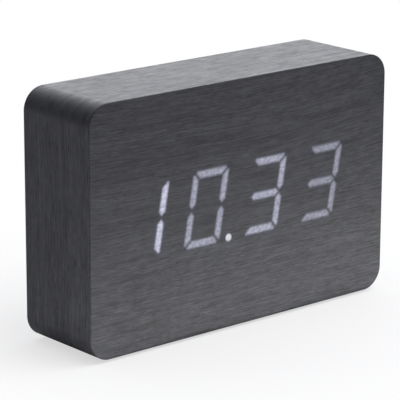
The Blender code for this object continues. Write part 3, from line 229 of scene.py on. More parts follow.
def makeBlackVeneer():
    look = veneerLook
    material, tree, shader = newMaterial("blackStainedVeneer", 0.44, IOR=1.42)
    place = newNode(tree, "UVMap", uv_map="grain").outputs[0]
    grain = useGroup(tree, woodGrain, {"Vector": place, "Pore Amount": look["poreAmount"]})
    fibres = grain["Fibres"]
    pores = grain["Pores"]
    paleness = weighted(tree, *[(spread(tree, grain[name], low, high), share)
                                for name, (low, high, share) in look["paleness"].items()])
    colour = mixColour(tree, paleness, look["dark"], look["pale"])
    colour = mixColour(tree, product(tree, fibres, look["fibreShare"]), colour, look["fibre"])
    shine = weighted(tree, (grain["Streaks"], 0.7), (grain["Blotches"], 0.3))
    shine = spread(tree, shine, 0.42, 0.58, *look["roughness"])
    feed(tree, shader, Base_Color=mixColour(tree, pores, colour, look["pore"]),
         Roughness=weighted(tree, (shine, 1.0), (pores, 0.14), (fibres, -0.10)))
    bumpInto(tree, shader, grain["Height"], look["bump"], 0.00006)
    # the field is 3 at the edge of a lit stroke and more inside it, and the grain and pores dim the light
    field, level = [newNode(tree, "Attribute", attribute_name=name).outputs["Fac"]
                    for name in ("lampField", "lampLevel")]
    inside = spread(tree, field, *look["strokeEdge"], smooth=True)
    around = mathNode(tree, "POWER", mathNode(tree, "DIVIDE", field, 3.0, clamp=True), 4.0)
    veil = spread(tree, weighted(tree, (pores, 1.0), (fibres, -0.5)), -0.5, 0.8, *look["veil"])
    mottle = spread(tree, noise(tree, place, 700.0, 2.0), 0.34, 0.66, *look["mottle"])
    light = product(tree, product(tree, inside, product(tree, mottle, veil)), level)
    isDot = mathNode(tree, "GREATER_THAN", level, look["dotAbove"])
    glow = mixColour(tree, 1.0, mixColour(tree, isDot, look["glow"], look["dotGlow"]), light, "MULTIPLY")
    halo = mixColour(tree, 1.0, look["halo"], product(tree, around, level), "MULTIPLY")
    feed(tree, shader, Emission_Color=mixColour(tree, 1.0, glow, halo, "ADD"))
    shader.inputs["Emission Strength"].default_value = 1.0
    return material


def makeFibreboard(name, dark, pale, roughness):
    material, tree, shader = newMaterial(name, roughness)
    place = objectPlace(tree)
    fibres = noise(tree, place, (1400, 5200, 1400), 4.0, 0.65)
    mix = weighted(tree, (fibres, 0.7), (noise(tree, place, 120.0), 0.3))
    feed(tree, shader, Base_Color=mixColour(tree, spread(tree, mix, 0.35, 0.65), dark, pale))
    bumpInto(tree, shader, fibres, 0.5, 0.00008)
    return material


def makeMoulded(name, dark, pale, roughness, bump, scale=2600.0):
    material, tree, shader = newMaterial(name, roughness)
    texture = useGroup(tree, mouldedTexture, {"Vector": objectPlace(tree), "Scale": scale})
    clouds = spread(tree, texture["Clouds"], 0.3, 0.7)
    grains = spread(tree, texture["Height"], 0.32, 0.74)
    rough = spread(tree, texture["Speckle"], 0.3, 0.7, roughness - 0.06, roughness + 0.08)
    feed(tree, shader, Base_Color=mixColour(tree, weighted(tree, (clouds, 0.45), (grains, 0.55)), dark, pale),
         Roughness=mathNode(tree, "MULTIPLY_ADD", clouds, -0.09, rough))
    bumpInto(tree, shader, texture["Height"], bump, 0.00005)
    return material


def makeMetal(name, colour, roughness):
    material, tree, shader = newMaterial(name, roughness, 1.0)
    lines = noise(tree, objectPlace(tree), (2500, 2500, 2500), 3.0, 0.6)
    dull = tuple(part * 0.72 for part in colour)
    feed(tree, shader, Base_Color=mixColour(tree, spread(tree, lines, 0.3, 0.7), dull, colour),
         Roughness=spread(tree, lines, 0.3, 0.7, roughness - 0.08, roughness + 0.12))
    bumpInto(tree, shader, lines, 0.15, 0.00002)
    return material


def makeBoard(name, dark, pale):
    # solder resist with tracks and pads showing through
    material, tree, shader = newMaterial(name, 0.38)
    place = objectPlace(tree)
    turned = newNode(tree, "Mapping", {"Vector": place, "Rotation": (pi / 2, 0, 0)}).outputs[0]
    inputs = {"Vector": turned, "Scale": 260.0, "Mortar Size": 0.06, "Brick Width": 2.2, "Row Height": 0.5}
    tracks = newNode(tree, "TexBrick", inputs).outputs["Fac"]
    dots = newNode(tree, "TexVoronoi", {"Vector": place, "Scale": 420.0}).outputs["Distance"]
    pads = mathNode(tree, "LESS_THAN", dots, 0.16)
    mask = mathNode(tree, "MAXIMUM", product(tree, tracks, 0.6), pads)
    base = mixColour(tree, noise(tree, place, 3000.0, 2.0), dark, pale)
    copper = tuple(part * 1.9 for part in pale)
    feed(tree, shader, Base_Color=mixColour(tree, mask, base, copper))
    bumpInto(tree, shader, mask, 0.3, 0.00003)
    return material


def makeCellSleeve():
    # a printed sleeve with one pale band round its middle
    material, tree, shader = newMaterial("cellSleeve", 0.3, 0.0, Coat_Weight=0.4, Coat_Roughness=0.2)
    place = objectPlace(tree)
    low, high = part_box("battery_1")
    along = newNode(tree, "SeparateXYZ", {0: place}).outputs[0]
    band = mathNode(tree, "COMPARE", spread(tree, along, low.x, high.x), 0.5, 0.17)
    base = mixColour(tree, band, (0.030, 0.052, 0.105), (0.30, 0.31, 0.33))
    scuffs = spread(tree, noise(tree, place, (900, 2600, 2600), 4.0, 0.7), 0.55, 0.8)
    scuffed = mixColour(tree, product(tree, scuffs, 0.35), base, (0.25, 0.26, 0.28))
    feed(tree, shader, Base_Color=scuffed, Roughness=spread(tree, scuffs, 0, 1, 0.26, 0.5))
    return material


# moulded finishes: name, dark, pale, roughness, bump, grain per metre
mouldedLooks = {
    "plastic": ("blackMouldedPlastic", (0.014, 0.014, 0.016), (0.036, 0.036, 0.039), 0.50, 0.9, 1500.0),
    "button": ("buttonPlastic", (0.026, 0.026, 0.028), (0.036, 0.036, 0.039), 0.36, 0.12, 3600.0),
    "chip": ("epoxyBlack", (0.016, 0.016, 0.018), (0.026, 0.026, 0.028), 0.52, 0.2, 5200.0),
    "film": ("diffusingFilm", (0.70, 0.69, 0.76), (0.82, 0.81, 0.86), 0.5, 0.1),
    "foam": ("footFoam", (0.018, 0.018, 0.019), (0.034, 0.034, 0.036), 0.82, 0.8, 1400.0),
    "print": ("paleInk", (0.42, 0.42, 0.43), (0.50, 0.50, 0.51), 0.6, 0.1),
    "cable": ("greyInsulation", (0.26, 0.26, 0.27), (0.34, 0.34, 0.35), 0.5, 0.1),
    "redLead": ("redInsulation", (0.40, 0.02, 0.02), (0.55, 0.04, 0.03), 0.42, 0.08),
    "blackLead": ("blackInsulation", (0.014, 0.014, 0.014), (0.024, 0.024, 0.024), 0.42, 0.08),
    "sleeve": ("capacitorSleeve", (0.020, 0.026, 0.060), (0.034, 0.042, 0.095), 0.32, 0.05),
}
finishes = {key: makeMoulded(*look) for key, look in mouldedLooks.items()}
finishes.update({
    "veneer": makeBlackVeneer(),
    "boardEdge": makeFibreboard("paintedFibreboard", (0.020, 0.019, 0.018), (0.042, 0.039, 0.036), 0.72),
    "rawBoard": makeFibreboard("rawFibreboard", (0.045, 0.034, 0.026), (0.080, 0.062, 0.046), 0.85),
    "board": makeBoard("greenBoard", (0.010, 0.060, 0.030), (0.020, 0.105, 0.050)),
    "metal": makeMetal("nickelPlate", (0.66, 0.65, 0.62), 0.28),
    "cell": makeCellSleeve(),
})
print("materials made")


# small helpers for pieces
def newObject(name, data):
    made = bpy.data.objects.new(name, data)
    bpy.context.scene.collection.objects.link(made)
    return made


def softShade(mesh):
    mesh.shade_smooth()
    mesh.set_sharp_from_angle(angle=sharpAngle)


def storeIn(mesh, bm):
    bm.to_mesh(mesh)
    bm.free()
    return mesh


def finalShape(thing):
    # a new mesh of what a text or a piece with modifiers comes to
    bpy.context.view_layer.update()
    return bpy.data.meshes.new_from_object(thing.evaluated_get(bpy.context.evaluated_depsgraph_get()))


def finishPiece(name, bm, materials, replaces=(), body="case"):
    bmesh.ops.recalc_face_normals(bm, faces=bm.faces)
    mesh = storeIn(bpy.data.meshes.new(name), bm)
    softShade(mesh)
    for key in materials:
        mesh.materials.append(finishes[key])
    piece = newObject(name, mesh)
    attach(piece, body)
    if replaces:
        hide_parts(*replaces)
    return piece


def numbered(name, count):
    return ["%s_%d" % (name, number) for number in range(1, count + 1)]


def middleOf(node):
    low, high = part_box(node)
    return (low + high) / 2


def cornersAt(x, z, wide, tall, back, front):
    # two opposite corners of a block centred on x and z
    return (x - wide / 2, back, z - tall / 2), (x + wide / 2, front, z + tall / 2)


def addBlock(bm, low, high):
    middle = Matrix.Translation([(a + b) / 2 for a, b in zip(low, high)])
    size = Matrix.Diagonal([b - a for a, b in zip(low, high)] + [1])
    return bmesh.ops.create_cube(bm, size=1, matrix=middle @ size)["verts"]


def edgesAmong(verts):
    chosen = set(verts)
    return [edge for edge in {e for v in verts for e in v.link_edges} if all(v in chosen for v in edge.verts)]


def reachOf(edge, axis):
    # how far an edge reaches along x (0), y (1) or z (2)
    return abs(edge.verts[0].co[axis] - edge.verts[1].co[axis])


def alongY(edges):
    return [edge for edge in edges if reachOf(edge, 1) > tiny]


def rimEdges(bm, y):
    return [edge for edge in bm.edges if all(abs(v.co.y - y) < tiny for v in edge.verts)
            and len(edge.link_faces) == 2 and edge.calc_face_angle(0) > radians(30)]


def roundEdges(bm, edges, radius, segments=3):
    bmesh.ops.bevel(bm, geom=edges, offset=radius, segments=segments, profile=0.5, affect="EDGES",
                    clamp_overlap=True, material=-1)


def softBlock(bm, low, high, radius, segments=2):
    # a block with all its edges rounded
    roundEdges(bm, edgesAmong(addBlock(bm, low, high)), radius, segments)


def roundedBlock(bm, low, high, corner, segments=12):
    # a block with its four edges along Y rounded
    roundEdges(bm, alongY(edgesAmong(addBlock(bm, low, high))), corner, segments)


def quarterTurn(steps, first=1):
    # (cosine, sine) of each step up to a right angle
    return [(cos(pi / 2 * step / steps), sin(pi / 2 * step / steps)) for step in range(first, steps + 1)]


def addTurned(bm, profile, node, steps=48, axis="Y"):
    # (radius, place along the axis) pairs, turned about a line through the middle of a node
    along = {"X": Vector((1, 0, 0)), "Y": Vector((0, 1, 0)), "Z": Vector((0, 0, 1))}[axis]
    out = Vector((0, 0, 1)) if axis != "Z" else Vector((1, 0, 0))
    middle = middleOf(node)
    middle["XYZ".index(axis)] = 0
    verts = [bm.verts.new(middle + out * radius + along * distance) for radius, distance in profile]
    edges = [bm.edges.new(pair) for pair in zip(verts, verts[1:])]
    before = set(bm.verts) - set(verts)
    bmesh.ops.spin(bm, geom=verts + edges, cent=middle, axis=along, angle=2 * pi, steps=steps, use_merge=True,
                   use_duplicate=False)
    bmesh.ops.remove_doubles(bm, verts=[v for v in bm.verts if v not in before], dist=tiny)
    return bm


def pullOut(bm, faces, vec):
    # extruded and moved, with the old faces kept
    drawn = bmesh.ops.extrude_face_region(bm, geom=faces, use_keep_orig=True)["geom"]
    verts = [part for part in drawn if isinstance(part, bmesh.types.BMVert)]
    bmesh.ops.translate(bm, verts=verts, vec=vec)
    return verts


def pieceName(node):
    # cover_screw_1 becomes coverScrew1
    first, *others = node.split("_")
    return first + "".join(part.capitalize() for part in others)


def cutWith(piece, bm):
    # one exact Boolean, applied
    bmesh.ops.recalc_face_normals(bm, faces=bm.faces)
    cutter = newObject("cutter", storeIn(bpy.data.meshes.new("cutter"), bm))
    modifier = piece.modifiers.new("cut", "BOOLEAN")
    modifier.operation = "DIFFERENCE"
    modifier.object = cutter
    modifier.solver = "EXACT"
    made = finalShape(piece)
    piece.modifiers.clear()
    piece.data = made
    bpy.data.objects.remove(cutter, do_unlink=True)
    softShade(piece.data)


def mergedCopy(node):
    # the CAD node's triangles as one closed mesh with flat faces
    bm = bmesh.new()
    bm.from_mesh(frame["nodes"][node].data)
    bmesh.ops.remove_doubles(bm, verts=bm.verts, dist=2e-6)
    bmesh.ops.dissolve_limit(bm, angle_limit=sameFlat, verts=bm.verts, edges=bm.edges)
    return bm


# the veneered case
case = {
    "corner": 9.0 * mm,
    "cornerSteps": 20,
    "frontEdge": 0.4 * mm,
    "rearEdge": 0.18 * mm,
    "veneer": 0.6 * mm,
    "cellSize": 0.5 * mm,
    "coreEdge": 0.35 * mm,
    "bandGrain": (0.5, 0.3),
}
bandLow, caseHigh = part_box("band_veneer")
caseLow = Vector((bandLow.x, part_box("front_veneer")[0].y, bandLow.z))

# the lit reading: a level is how bright a figure is, and the dot is (right, up, diameter) from the middle of
# the second figure
digits = {
    "reading": ("1", "0", "3", "3"),
    "levels": (1.36, 0.79, 0.88, 0.63),
    "dotLevel": 1.85,
    "middle": (-4.2 * mm, 51.85 * mm),
    "pitch": 30.1 * mm,
    "width": 18.2 * mm,
    "height": 30.2 * mm,
    "slant": radians(10),
    "across": 3.1 * mm,
    "upright": 3.1 * mm,
    "mitre": 0.7 * mm,
    "middleGap": 1.3 * mm,
    "blunt": 1.25 * mm,
    "dot": (13.75 * mm, -14.1 * mm, 3.15 * mm),
    "dotCrisp": 1.6,
    "glowReach": 3.0 * mm,
    "farOff": 25.0 * mm,
    "window": (117.0 * mm, 37.0 * mm),
}
strokesOf = {"0": (0, 1, 2, 3, 4, 5), "1": (1, 2), "3": (0, 1, 2, 3, 6)}


def blunted(outline):
    # corners sharper than 60 degrees are cut short
    shaped = []
    for before, corner, after in zip(outline[-1:] + outline[:-1], outline, outline[1:] + outline[:1]):
        arms = [Vector(other) - Vector(corner) for other in (before, after)]
        if arms[0].angle(arms[1]) > radians(60):
            shaped.append(corner)
        else:
            shaped += [tuple(Vector(corner) + arm.normalized() * digits["blunt"]) for arm in arms]
    return shaped


def strokeOutlines():
    # the seven strokes of a figure, each counter-clockwise round its middle
    side = digits["width"] / 2
    top = digits["height"] / 2
    gap = digits["mitre"]
    mitre = gap / 2 ** 0.5
    upright = digits["upright"]
    across = digits["across"]
    notch = digits["middleGap"] / 2
    tip = side - upright / 2 - (gap * 2 ** 0.5 - notch)
    barTop = [(side - mitre, top), (mitre - side, top), (mitre + upright - side, top - across),
              (side - upright - mitre, top - across)]
    barBottom = [(-x, -z) for x, z in barTop]
    barMiddle = [(tip, 0), (tip - across / 2, across / 2), (across / 2 - tip, across / 2), (-tip, 0),
                 (across / 2 - tip, -across / 2), (tip - across / 2, -across / 2)]
    shoulder = notch + upright / 2
    upperRight = [(side, top - mitre), (side - upright, top - across - mitre), (side - upright, shoulder),
                  (side - upright / 2, notch), (side, shoulder)]
    upperLeft = [(-x, z) for x, z in reversed(upperRight)]
    lowerRight = [(x, -z) for x, z in reversed(upperRight)]
    lowerLeft = [(-x, -z) for x, z in upperRight]
    return [blunted(outline) for outline in
            (barTop, upperRight, lowerRight, barBottom, lowerLeft, upperLeft, barMiddle)]


def onSlant(number, x, z):
    # a point of a figure, slanted and in its place on the front
    middle = digits["middle"][0] + (number - 1.5) * digits["pitch"]
    return middle + x + z * tan(digits["slant"]), digits["middle"][1] + z


def litStrokes():
    # (outline, level) of each lit stroke
    outlines = strokeOutlines()
    return [([onSlant(number, x, z) for x, z in outlines[stroke]], digits["levels"][number])
            for number, figure in enumerate(digits["reading"]) for stroke in strokesOf[figure]]


def insideDistance(x, z, outline):
    # positive inside a counter-clockwise outline, negative outside
    inner = True
    nearest = 1.0
    for (ax, az), (bx, bz) in zip(outline, outline[1:] + outline[:1]):
        run = (bx - ax, bz - az)
        rel = (x - ax, z - az)
        if run[0] * rel[1] - run[1] * rel[0] < 0:
            inner = False
        share = max(0, min(1, (run[0] * rel[0] + run[1] * rel[1]) / (run[0] ** 2 + run[1] ** 2)))
        nearest = min(nearest, hypot(rel[0] - run[0] * share, rel[1] - run[1] * share))
    return nearest if inner else -nearest


def perimeterAt(x, z, halfWide, halfHigh, radius):
    # how far round the case a point is, from the middle of its top
    straightX = halfWide - radius
    straightZ = halfHigh - radius
    arc = pi / 2 * radius
    if abs(z) <= straightZ:
        run = straightX + arc + straightZ - z
    else:
        run = min(abs(x), straightX) + atan2(max(0, abs(x) - straightX), abs(z) - straightZ) * radius
        if z < 0:
            run = 2 * (straightX + straightZ + arc) - run
    return run if x >= 0 else -run


def onFront(place):
    return abs(place.y - caseLow.y) < tiny


def inWindow(place, spare=0.0):
    wide, high = digits["window"]
    return (abs(place.x - digits["middle"][0]) <= wide / 2 + spare
            and abs(place.z - digits["middle"][1]) <= high / 2 + spare)


def gridWindow(bm):
    # the part of the front over the lamps is cut out and divided finely enough to hold the light's shape
    wide, high = digits["window"]
    midX, midZ = digits["middle"]
    cuts = [((midX + way * wide / 2, 0, 0), (1, 0, 0)) for way in (-1, 1)]
    cuts += [((0, 0, midZ + way * high / 2), (0, 0, 1)) for way in (-1, 1)]
    for place, normal in cuts:
        front = [face for face in bm.faces if onFront(face.calc_center_median())]
        geom = front + list({e for f in front for e in f.edges}) + list({v for f in front for v in f.verts})
        bmesh.ops.bisect_plane(bm, geom=geom, plane_co=place, plane_no=normal)
    window = [face for face in bm.faces
              if onFront(face.calc_center_median()) and inWindow(face.calc_center_median())]
    flat = [edge for edge in window[0].edges if reachOf(edge, 2) < tiny]
    bmesh.ops.subdivide_edges(bm, edges=flat, cuts=round(wide / case["cellSize"]) - 1, use_grid_fill=True)
    upright = [edge for edge in bm.edges if reachOf(edge, 0) < tiny
               and all(onFront(v.co) and inWindow(v.co, tiny) for v in edge.verts)]
    bmesh.ops.subdivide_edges(bm, edges=upright, cuts=round(high / case["cellSize"]) - 1, use_grid_fill=True)


def layLight(bm):
    # how far each point of the window is inside a lit stroke, in millimetres, and how bright that stroke is
    field = bm.verts.layers.float.new("lampField")
    level = bm.verts.layers.float.new("lampLevel")
    strokes = litStrokes()
    dotX, dotZ = onSlant(1, *digits["dot"][:2])
    for vert in bm.verts:
        if not (onFront(vert.co) and inWindow(vert.co)):
            continue
        x, y, z = vert.co
        # the dot has a crisper edge than the strokes
        best = ((digits["dot"][2] / 2 - hypot(x - dotX, z - dotZ)) * digits["dotCrisp"], digits["dotLevel"])
        for outline, strength in strokes:
            if abs(outline[0][0] - x) < digits["farOff"]:
                best = max(best, (insideDistance(x, z, outline), strength))
        vert[field] = max(0.0, (best[0] + digits["glowReach"]) / mm)
        vert[level] = best[1]


def layGrain(bm):
    # the grain runs across the front, and round the case in another part of the wood
    uv = bm.loops.layers.uv.new("grain")
    shiftAlong, shiftAcross = case["bandGrain"]
    middle = (caseLow + caseHigh) / 2
    half = (caseHigh - caseLow) / 2
    for face in bm.faces:
        place = face.calc_center_median()
        facing = face.normal.y < -0.6 and place.y < caseLow.y + 2 * case["frontEdge"]
        under = abs(face.normal.z) > 0.99 and place.z < middle.z
        for loop in face.loops:
            x, y, z = loop.vert.co
            if facing:
                loop[uv].uv = (x, z)
            elif under:
                loop[uv].uv = (x - shiftAlong, y + shiftAcross)
            else:
                run = perimeterAt(x - middle.x, z - middle.z, half.x, half.z, case["corner"])
                loop[uv].uv = (run + shiftAlong, y + shiftAcross)


def makeVeneerShell():
    bm = bmesh.new()
    roundedBlock(bm, caseLow, caseHigh, case["corner"], case["cornerSteps"])
    rear = [face for face in bm.faces if face.normal.y > 0.9]
    bmesh.ops.delete(bm, geom=rear, context="FACES_ONLY")
    bmesh.ops.recalc_face_normals(bm, faces=bm.faces)
    roundEdges(bm, rimEdges(bm, caseLow.y), case["frontEdge"], 5)
    bmesh.ops.solidify(bm, geom=bm.faces, thickness=case["veneer"])
    gridWindow(bm)
    layLight(bm)
    layGrain(bm)
    roundEdges(bm, rimEdges(bm, caseHigh.y), case["rearEdge"], 2)
    shell = finishPiece("veneerShell", bm, ["veneer"], ("front_veneer", "band_veneer"))
    shell.modifiers.new("evenShading", "WEIGHTED_NORMAL").keep_sharp = True
    return shell


def makeCoreRing():
    # the painted core behind the veneer, with softened rear edges
    bm = mergedCopy("case_ring")
    roundEdges(bm, rimEdges(bm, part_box("case_ring")[1].y), case["coreEdge"])
    finishPiece("coreRing", bm, ["boardEdge"], ("case_ring",))


veneerShell = makeVeneerShell()
makeCoreRing()
print("veneer shell and core made:", len(veneerShell.data.polygons), "faces")

# the recessed back cover
cover = {
    "corner": 7.0 * mm,
    "edge": 0.35 * mm,
    "lip": 0.22 * mm,
    "thickness": 2.0 * mm,
    "seam": 0.02 * mm,
    "screwHole": 3.2 * mm,
    "screwSeat": 1.2 * mm,
    "screwWell": 5.6 * mm,
    "buttonHole": 7.6 * mm,
    "socketHole": 7.8 * mm,
    "pickupHole": 2.2 * mm,
    "slots": {"count": 5, "wide": 1.2 * mm, "long": 8.5 * mm, "pitch": 2.4 * mm},
    "opening": {"gap": 0.3 * mm, "corner": 1.9 * mm},
    "markSize": 2.9 * mm,
    "markHeight": 0.04 * mm,
    "markDown": 6.6 * mm,
}
coverLow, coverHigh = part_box("back_cover")
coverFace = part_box("battery_door")[1].y
coverInside = coverFace - cover["thickness"]
coverUnder = coverInside - beyond
hingeLine = Vector(next(joint for joint in frame["joints"] if joint["name"] == "battery_door_hinge")["pos_m"])
hingeReach = coverFace - hingeLine.y
buttonNames = ("set_button", "up_button", "down_button")
screwNames = numbered("cover_screw", 4)


def flaredHole(bm, node, diameter, steps=48, start=None):
    # a round cutter over a node, which widens at the cover's outer face
    radius = diameter / 2
    lip = cover["lip"]
    start = start or [(0, coverUnder)]
    profile = start + [(radius, start[-1][1]), (radius, coverFace - lip), (radius + lip, coverFace),
                       (radius + lip, coverFace + beyond), (0, coverFace + beyond)]
    addTurned(bm, profile, node, steps)


def addMark(bm, words, x, z):
    # printed words that stand just proud of the cover, read from behind
    curve = bpy.data.curves.new("mark", "FONT")
    curve.body = words
    curve.size = cover["markSize"]
    curve.align_x = "CENTER"
    curve.align_y = "CENTER"
    curve.extrude = cover["markHeight"]
    curve.resolution_u = 4
    letters = newObject("mark", curve)
    mesh = finalShape(letters)
    mesh.transform(Matrix.Translation((x, coverFace, z)) @ Matrix.Rotation(pi, 4, "Z")
                   @ Matrix.Rotation(pi / 2, 4, "X"))
    bpy.data.objects.remove(letters, do_unlink=True)
    before = set(bm.faces)
    bm.from_mesh(mesh)
    printed = [face for face in bm.faces if face not in before]
    for face in printed:
        face.material_index = 1
    bmesh.ops.remove_doubles(bm, verts=list({v for face in printed for v in face.verts}), dist=tiny)


def makeBackCover():
    seam = coverInside - cover["seam"]
    bm = bmesh.new()
    roundedBlock(bm, (coverLow.x, seam, coverLow.z), (coverHigh.x, coverFace, coverHigh.z), cover["corner"],
                 16)
    roundEdges(bm, rimEdges(bm, coverFace), cover["edge"])
    plate = finishPiece("backCover", bm, ["plastic", "print"], ("back_cover",))

    bm = bmesh.new()
    for name in buttonNames:
        flaredHole(bm, name, cover["buttonHole"])
    flaredHole(bm, "dc_jack", cover["socketHole"])
    flaredHole(bm, "microphone", cover["pickupHole"], 32)
    shank = cover["screwHole"] / 2
    for name in screwNames:
        flaredHole(bm, name, cover["screwWell"],
                   start=[(0, coverUnder), (shank, coverUnder), (shank, coverFace - cover["screwSeat"])])
    # sound slots with round ends
    slots = cover["slots"]
    sound = middleOf("buzzer")
    for number in range(slots["count"]):
        x = sound.x + (number - (slots["count"] - 1) / 2) * slots["pitch"]
        ends = cornersAt(x, sound.z, slots["wide"], slots["long"], coverUnder, coverFace + beyond)
        roundedBlock(bm, *ends, slots["wide"] * nearlyHalf, 10)
    doorLow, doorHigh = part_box("battery_door")
    gap = cover["opening"]["gap"]
    verts = addBlock(bm, (doorLow.x - gap, coverUnder, doorLow.z - gap),
                     (doorHigh.x + gap, coverFace + beyond, hingeLine.z + hingeReach + gap))
    lower = [edge for edge in alongY(edgesAmong(verts)) if edge.verts[0].co.z < doorLow.z]
    roundEdges(bm, lower, cover["opening"]["corner"], 8)
    cutWith(plate, bm)

    # the battery tray and the posts behind the plate keep their shape
    tray = finishPiece("tray", mergedCopy("back_cover"), ["plastic"])
    bm = bmesh.new()
    addBlock(bm, (coverLow.x - beyond, seam, coverLow.z - beyond),
             (coverHigh.x + beyond, coverHigh.y + beyond, coverHigh.z + beyond))
    cutWith(tray, bm)

    # joined, with the words below the buttons
    bm = bmesh.new()
    bm.from_mesh(tray.data)
    bm.from_mesh(plate.data)
    bpy.data.objects.remove(tray, do_unlink=True)
    bmesh.ops.dissolve_degenerate(bm, edges=bm.edges, dist=1e-7)
    for name, words in zip(buttonNames, ("SET", "UP", "DOWN")):
        addMark(bm, words, middleOf(name).x, middleOf(name).z - cover["markDown"])
    softShade(storeIn(plate.data, bm))


# the battery door, hung on its upper edge, with a grip that is so wide, so tall and so deep
door = {
    "thickness": 1.7 * mm,
    "corner": 1.6 * mm,
    "edge": 0.25 * mm,
    "grip": (11.0 * mm, 4.2 * mm, 0.7 * mm),
    "gripUp": 4.2 * mm,
    "gripEdge": 0.45 * mm,
    "ribs": {"count": 4, "pitch": 0.9 * mm, "thick": 0.4 * mm, "long": 0.66, "sunk": 0.2 * mm,
             "below": 0.25 * mm},
    "arrow": {"radius": 2.2 * mm, "up": 5.8 * mm, "rise": 0.36 * mm, "sunk": 0.1 * mm, "ink": 0.01 * mm},
    "smallEdge": 0.14 * mm,
    "tab": {"wide": 6.0 * mm, "thick": 1.2 * mm, "reach": 1.5 * mm, "foot": 1.5 * mm, "spread": 0.56,
            "gap": 0.3 * mm, "sunk": 0.2 * mm, "inset": 0.1 * mm},
    "latch": {"wide": 8.0 * mm, "deep": 2.8 * mm, "thick": 1.1 * mm, "up": 1.0 * mm, "sunk": 0.3 * mm},
    "hiddenEdge": 0.2 * mm,
}


def makeDoorPanel(low, high, inside):
    bm = bmesh.new()
    start = bm.verts.new((low.x, coverFace, hingeLine.z))
    # the upper edge is round about the hinge line
    angle = pi / 2 + asin((hingeLine.y - inside) / hingeReach)
    bmesh.ops.spin(bm, geom=[start], cent=hingeLine, axis=(1, 0, 0), angle=angle, steps=14)
    ordered = sorted(bm.verts, key=lambda v: (v.co - hingeLine).angle(Vector((0, 1, 0))))
    lower = [bm.verts.new((low.x, y, low.z)) for y in (inside, coverFace)]
    side = bm.faces.new(ordered + lower)
    pullOut(bm, [side], (high.x - low.x, 0, 0))
    bmesh.ops.recalc_face_normals(bm, faces=bm.faces)
    corners = [edge for edge in alongY(bm.edges) if all(abs(v.co.z - low.z) < tiny for v in edge.verts)]
    roundEdges(bm, corners, door["corner"], 8)
    edges = [edge for edge in rimEdges(bm, coverFace) if min(v.co.z for v in edge.verts) < hingeLine.z - tiny]
    roundEdges(bm, edges, door["edge"])
    return finishPiece("batteryDoor", bm, ["plastic", "button", "print"], ("battery_door",),
                       "battery_door_body")


def makeBatteryDoor():
    low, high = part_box("battery_door")
    inside = coverFace - door["thickness"]
    panel = makeDoorPanel(low, high, inside)
    wide, tall, deep = door["grip"]
    middle = Vector(((low.x + high.x) / 2, 0, low.z + door["gripUp"]))
    bottom = coverFace - deep
    bm = bmesh.new()
    ends = cornersAt(middle.x, middle.z, wide, tall, bottom, coverFace + beyond)
    roundedBlock(bm, *ends, tall * nearlyHalf, 10)
    roundEdges(bm, rimEdges(bm, bottom), door["gripEdge"], 4)
    cutWith(panel, bm)

    # the ribs and the arrow are smoother than the door, and the arrow's top is printed
    bm = bmesh.new()
    bm.from_mesh(panel.data)
    textured = set(bm.faces)
    ribs = door["ribs"]
    for number in range(ribs["count"]):
        z = middle.z + (number - (ribs["count"] - 1) / 2) * ribs["pitch"]
        ends = cornersAt(middle.x, z, wide * ribs["long"], ribs["thick"], bottom - ribs["sunk"],
                         coverFace - ribs["below"])
        softBlock(bm, *ends, door["smallEdge"], 3)
    arrow = door["arrow"]
    at = Matrix.Translation((middle.x, coverFace - arrow["sunk"], middle.z + arrow["up"]))
    at = at @ Matrix.Rotation(-pi / 2, 4, "X")
    head = bmesh.ops.create_circle(bm, cap_ends=True, segments=3, radius=arrow["radius"], matrix=at)["verts"]
    raised = pullOut(bm, head[0].link_faces[:], (0, arrow["rise"] + arrow["sunk"], 0))
    roundEdges(bm, edgesAmong(raised), door["smallEdge"], 2)
    for face in set(bm.faces) - textured:
        printed = face.calc_center_median().y > coverFace + arrow["rise"] - arrow["ink"]
        face.material_index = 2 if printed else 1
    # two tabs hook behind the cover's edge, each on a foot that joins it to the door
    tab = door["tab"]
    gap = tab["gap"]
    front = coverInside - gap - tab["thick"]
    for way in (-1, 1):
        x = middle.x + way * (high.x - low.x) / 2 * tab["spread"]
        softBlock(bm, (x - tab["wide"] / 2, front, hingeLine.z - tab["foot"]),
                  (x + tab["wide"] / 2, front + tab["thick"], hingeLine.z + hingeReach + gap + tab["reach"]),
                  door["hiddenEdge"])
        addBlock(bm, (x - tab["wide"] / 2 + gap, front + gap, hingeLine.z - tab["foot"] + tab["inset"]),
                 (x + tab["wide"] / 2 - gap, inside + tab["sunk"], hingeLine.z - tab["inset"]))
    latch = door["latch"]
    softBlock(bm, (middle.x - latch["wide"] / 2, inside - latch["deep"], low.z + latch["up"]),
              (middle.x + latch["wide"] / 2, inside + latch["sunk"], low.z + latch["up"] + latch["thick"]),
              door["hiddenEdge"])
    softShade(storeIn(panel.data, bm))


makeBackCover()
makeBatteryDoor()
print("back cover and battery door made")

# the buttons: the cap's face is slightly hollow
button = {"cap": 7.0 * mm, "edge": 0.35 * mm, "rim": 0.25 * mm, "dish": 0.22 * mm, "flange": 9.2 * mm,
          "flangeThick": 1.5 * mm, "flangeEdge": 0.2 * mm, "below": 0.3 * mm, "stem": 4.0 * mm}


def makeButton(node):
    low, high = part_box(node)
    cap = button["cap"] / 2
    flange = button["flange"] / 2
    stem = button["stem"] / 2
    edge = button["edge"]
    soft = button["flangeEdge"]
    back = coverInside - button["below"]
    front = back - button["flangeThick"]
    profile = [(0, low.y), (stem, low.y), (stem, front), (flange - soft, front), (flange, front + soft),
               (flange, back - soft), (flange - soft, back), (cap, back), (cap, high.y - edge)]
    profile += [(cap - edge + edge * out, high.y - edge + edge * up) for out, up in quarterTurn(4)]
    bowl = cap - edge - button["rim"]
    for step in range(7):
        share = 1 - step / 6
        profile.append((bowl * share, high.y - button["dish"] * (1 - share ** 2)))
    bm = addTurned(bmesh.new(), profile, node, 64)
    finishPiece(pieceName(node), bm, ["button"], (node,), node + "_body")


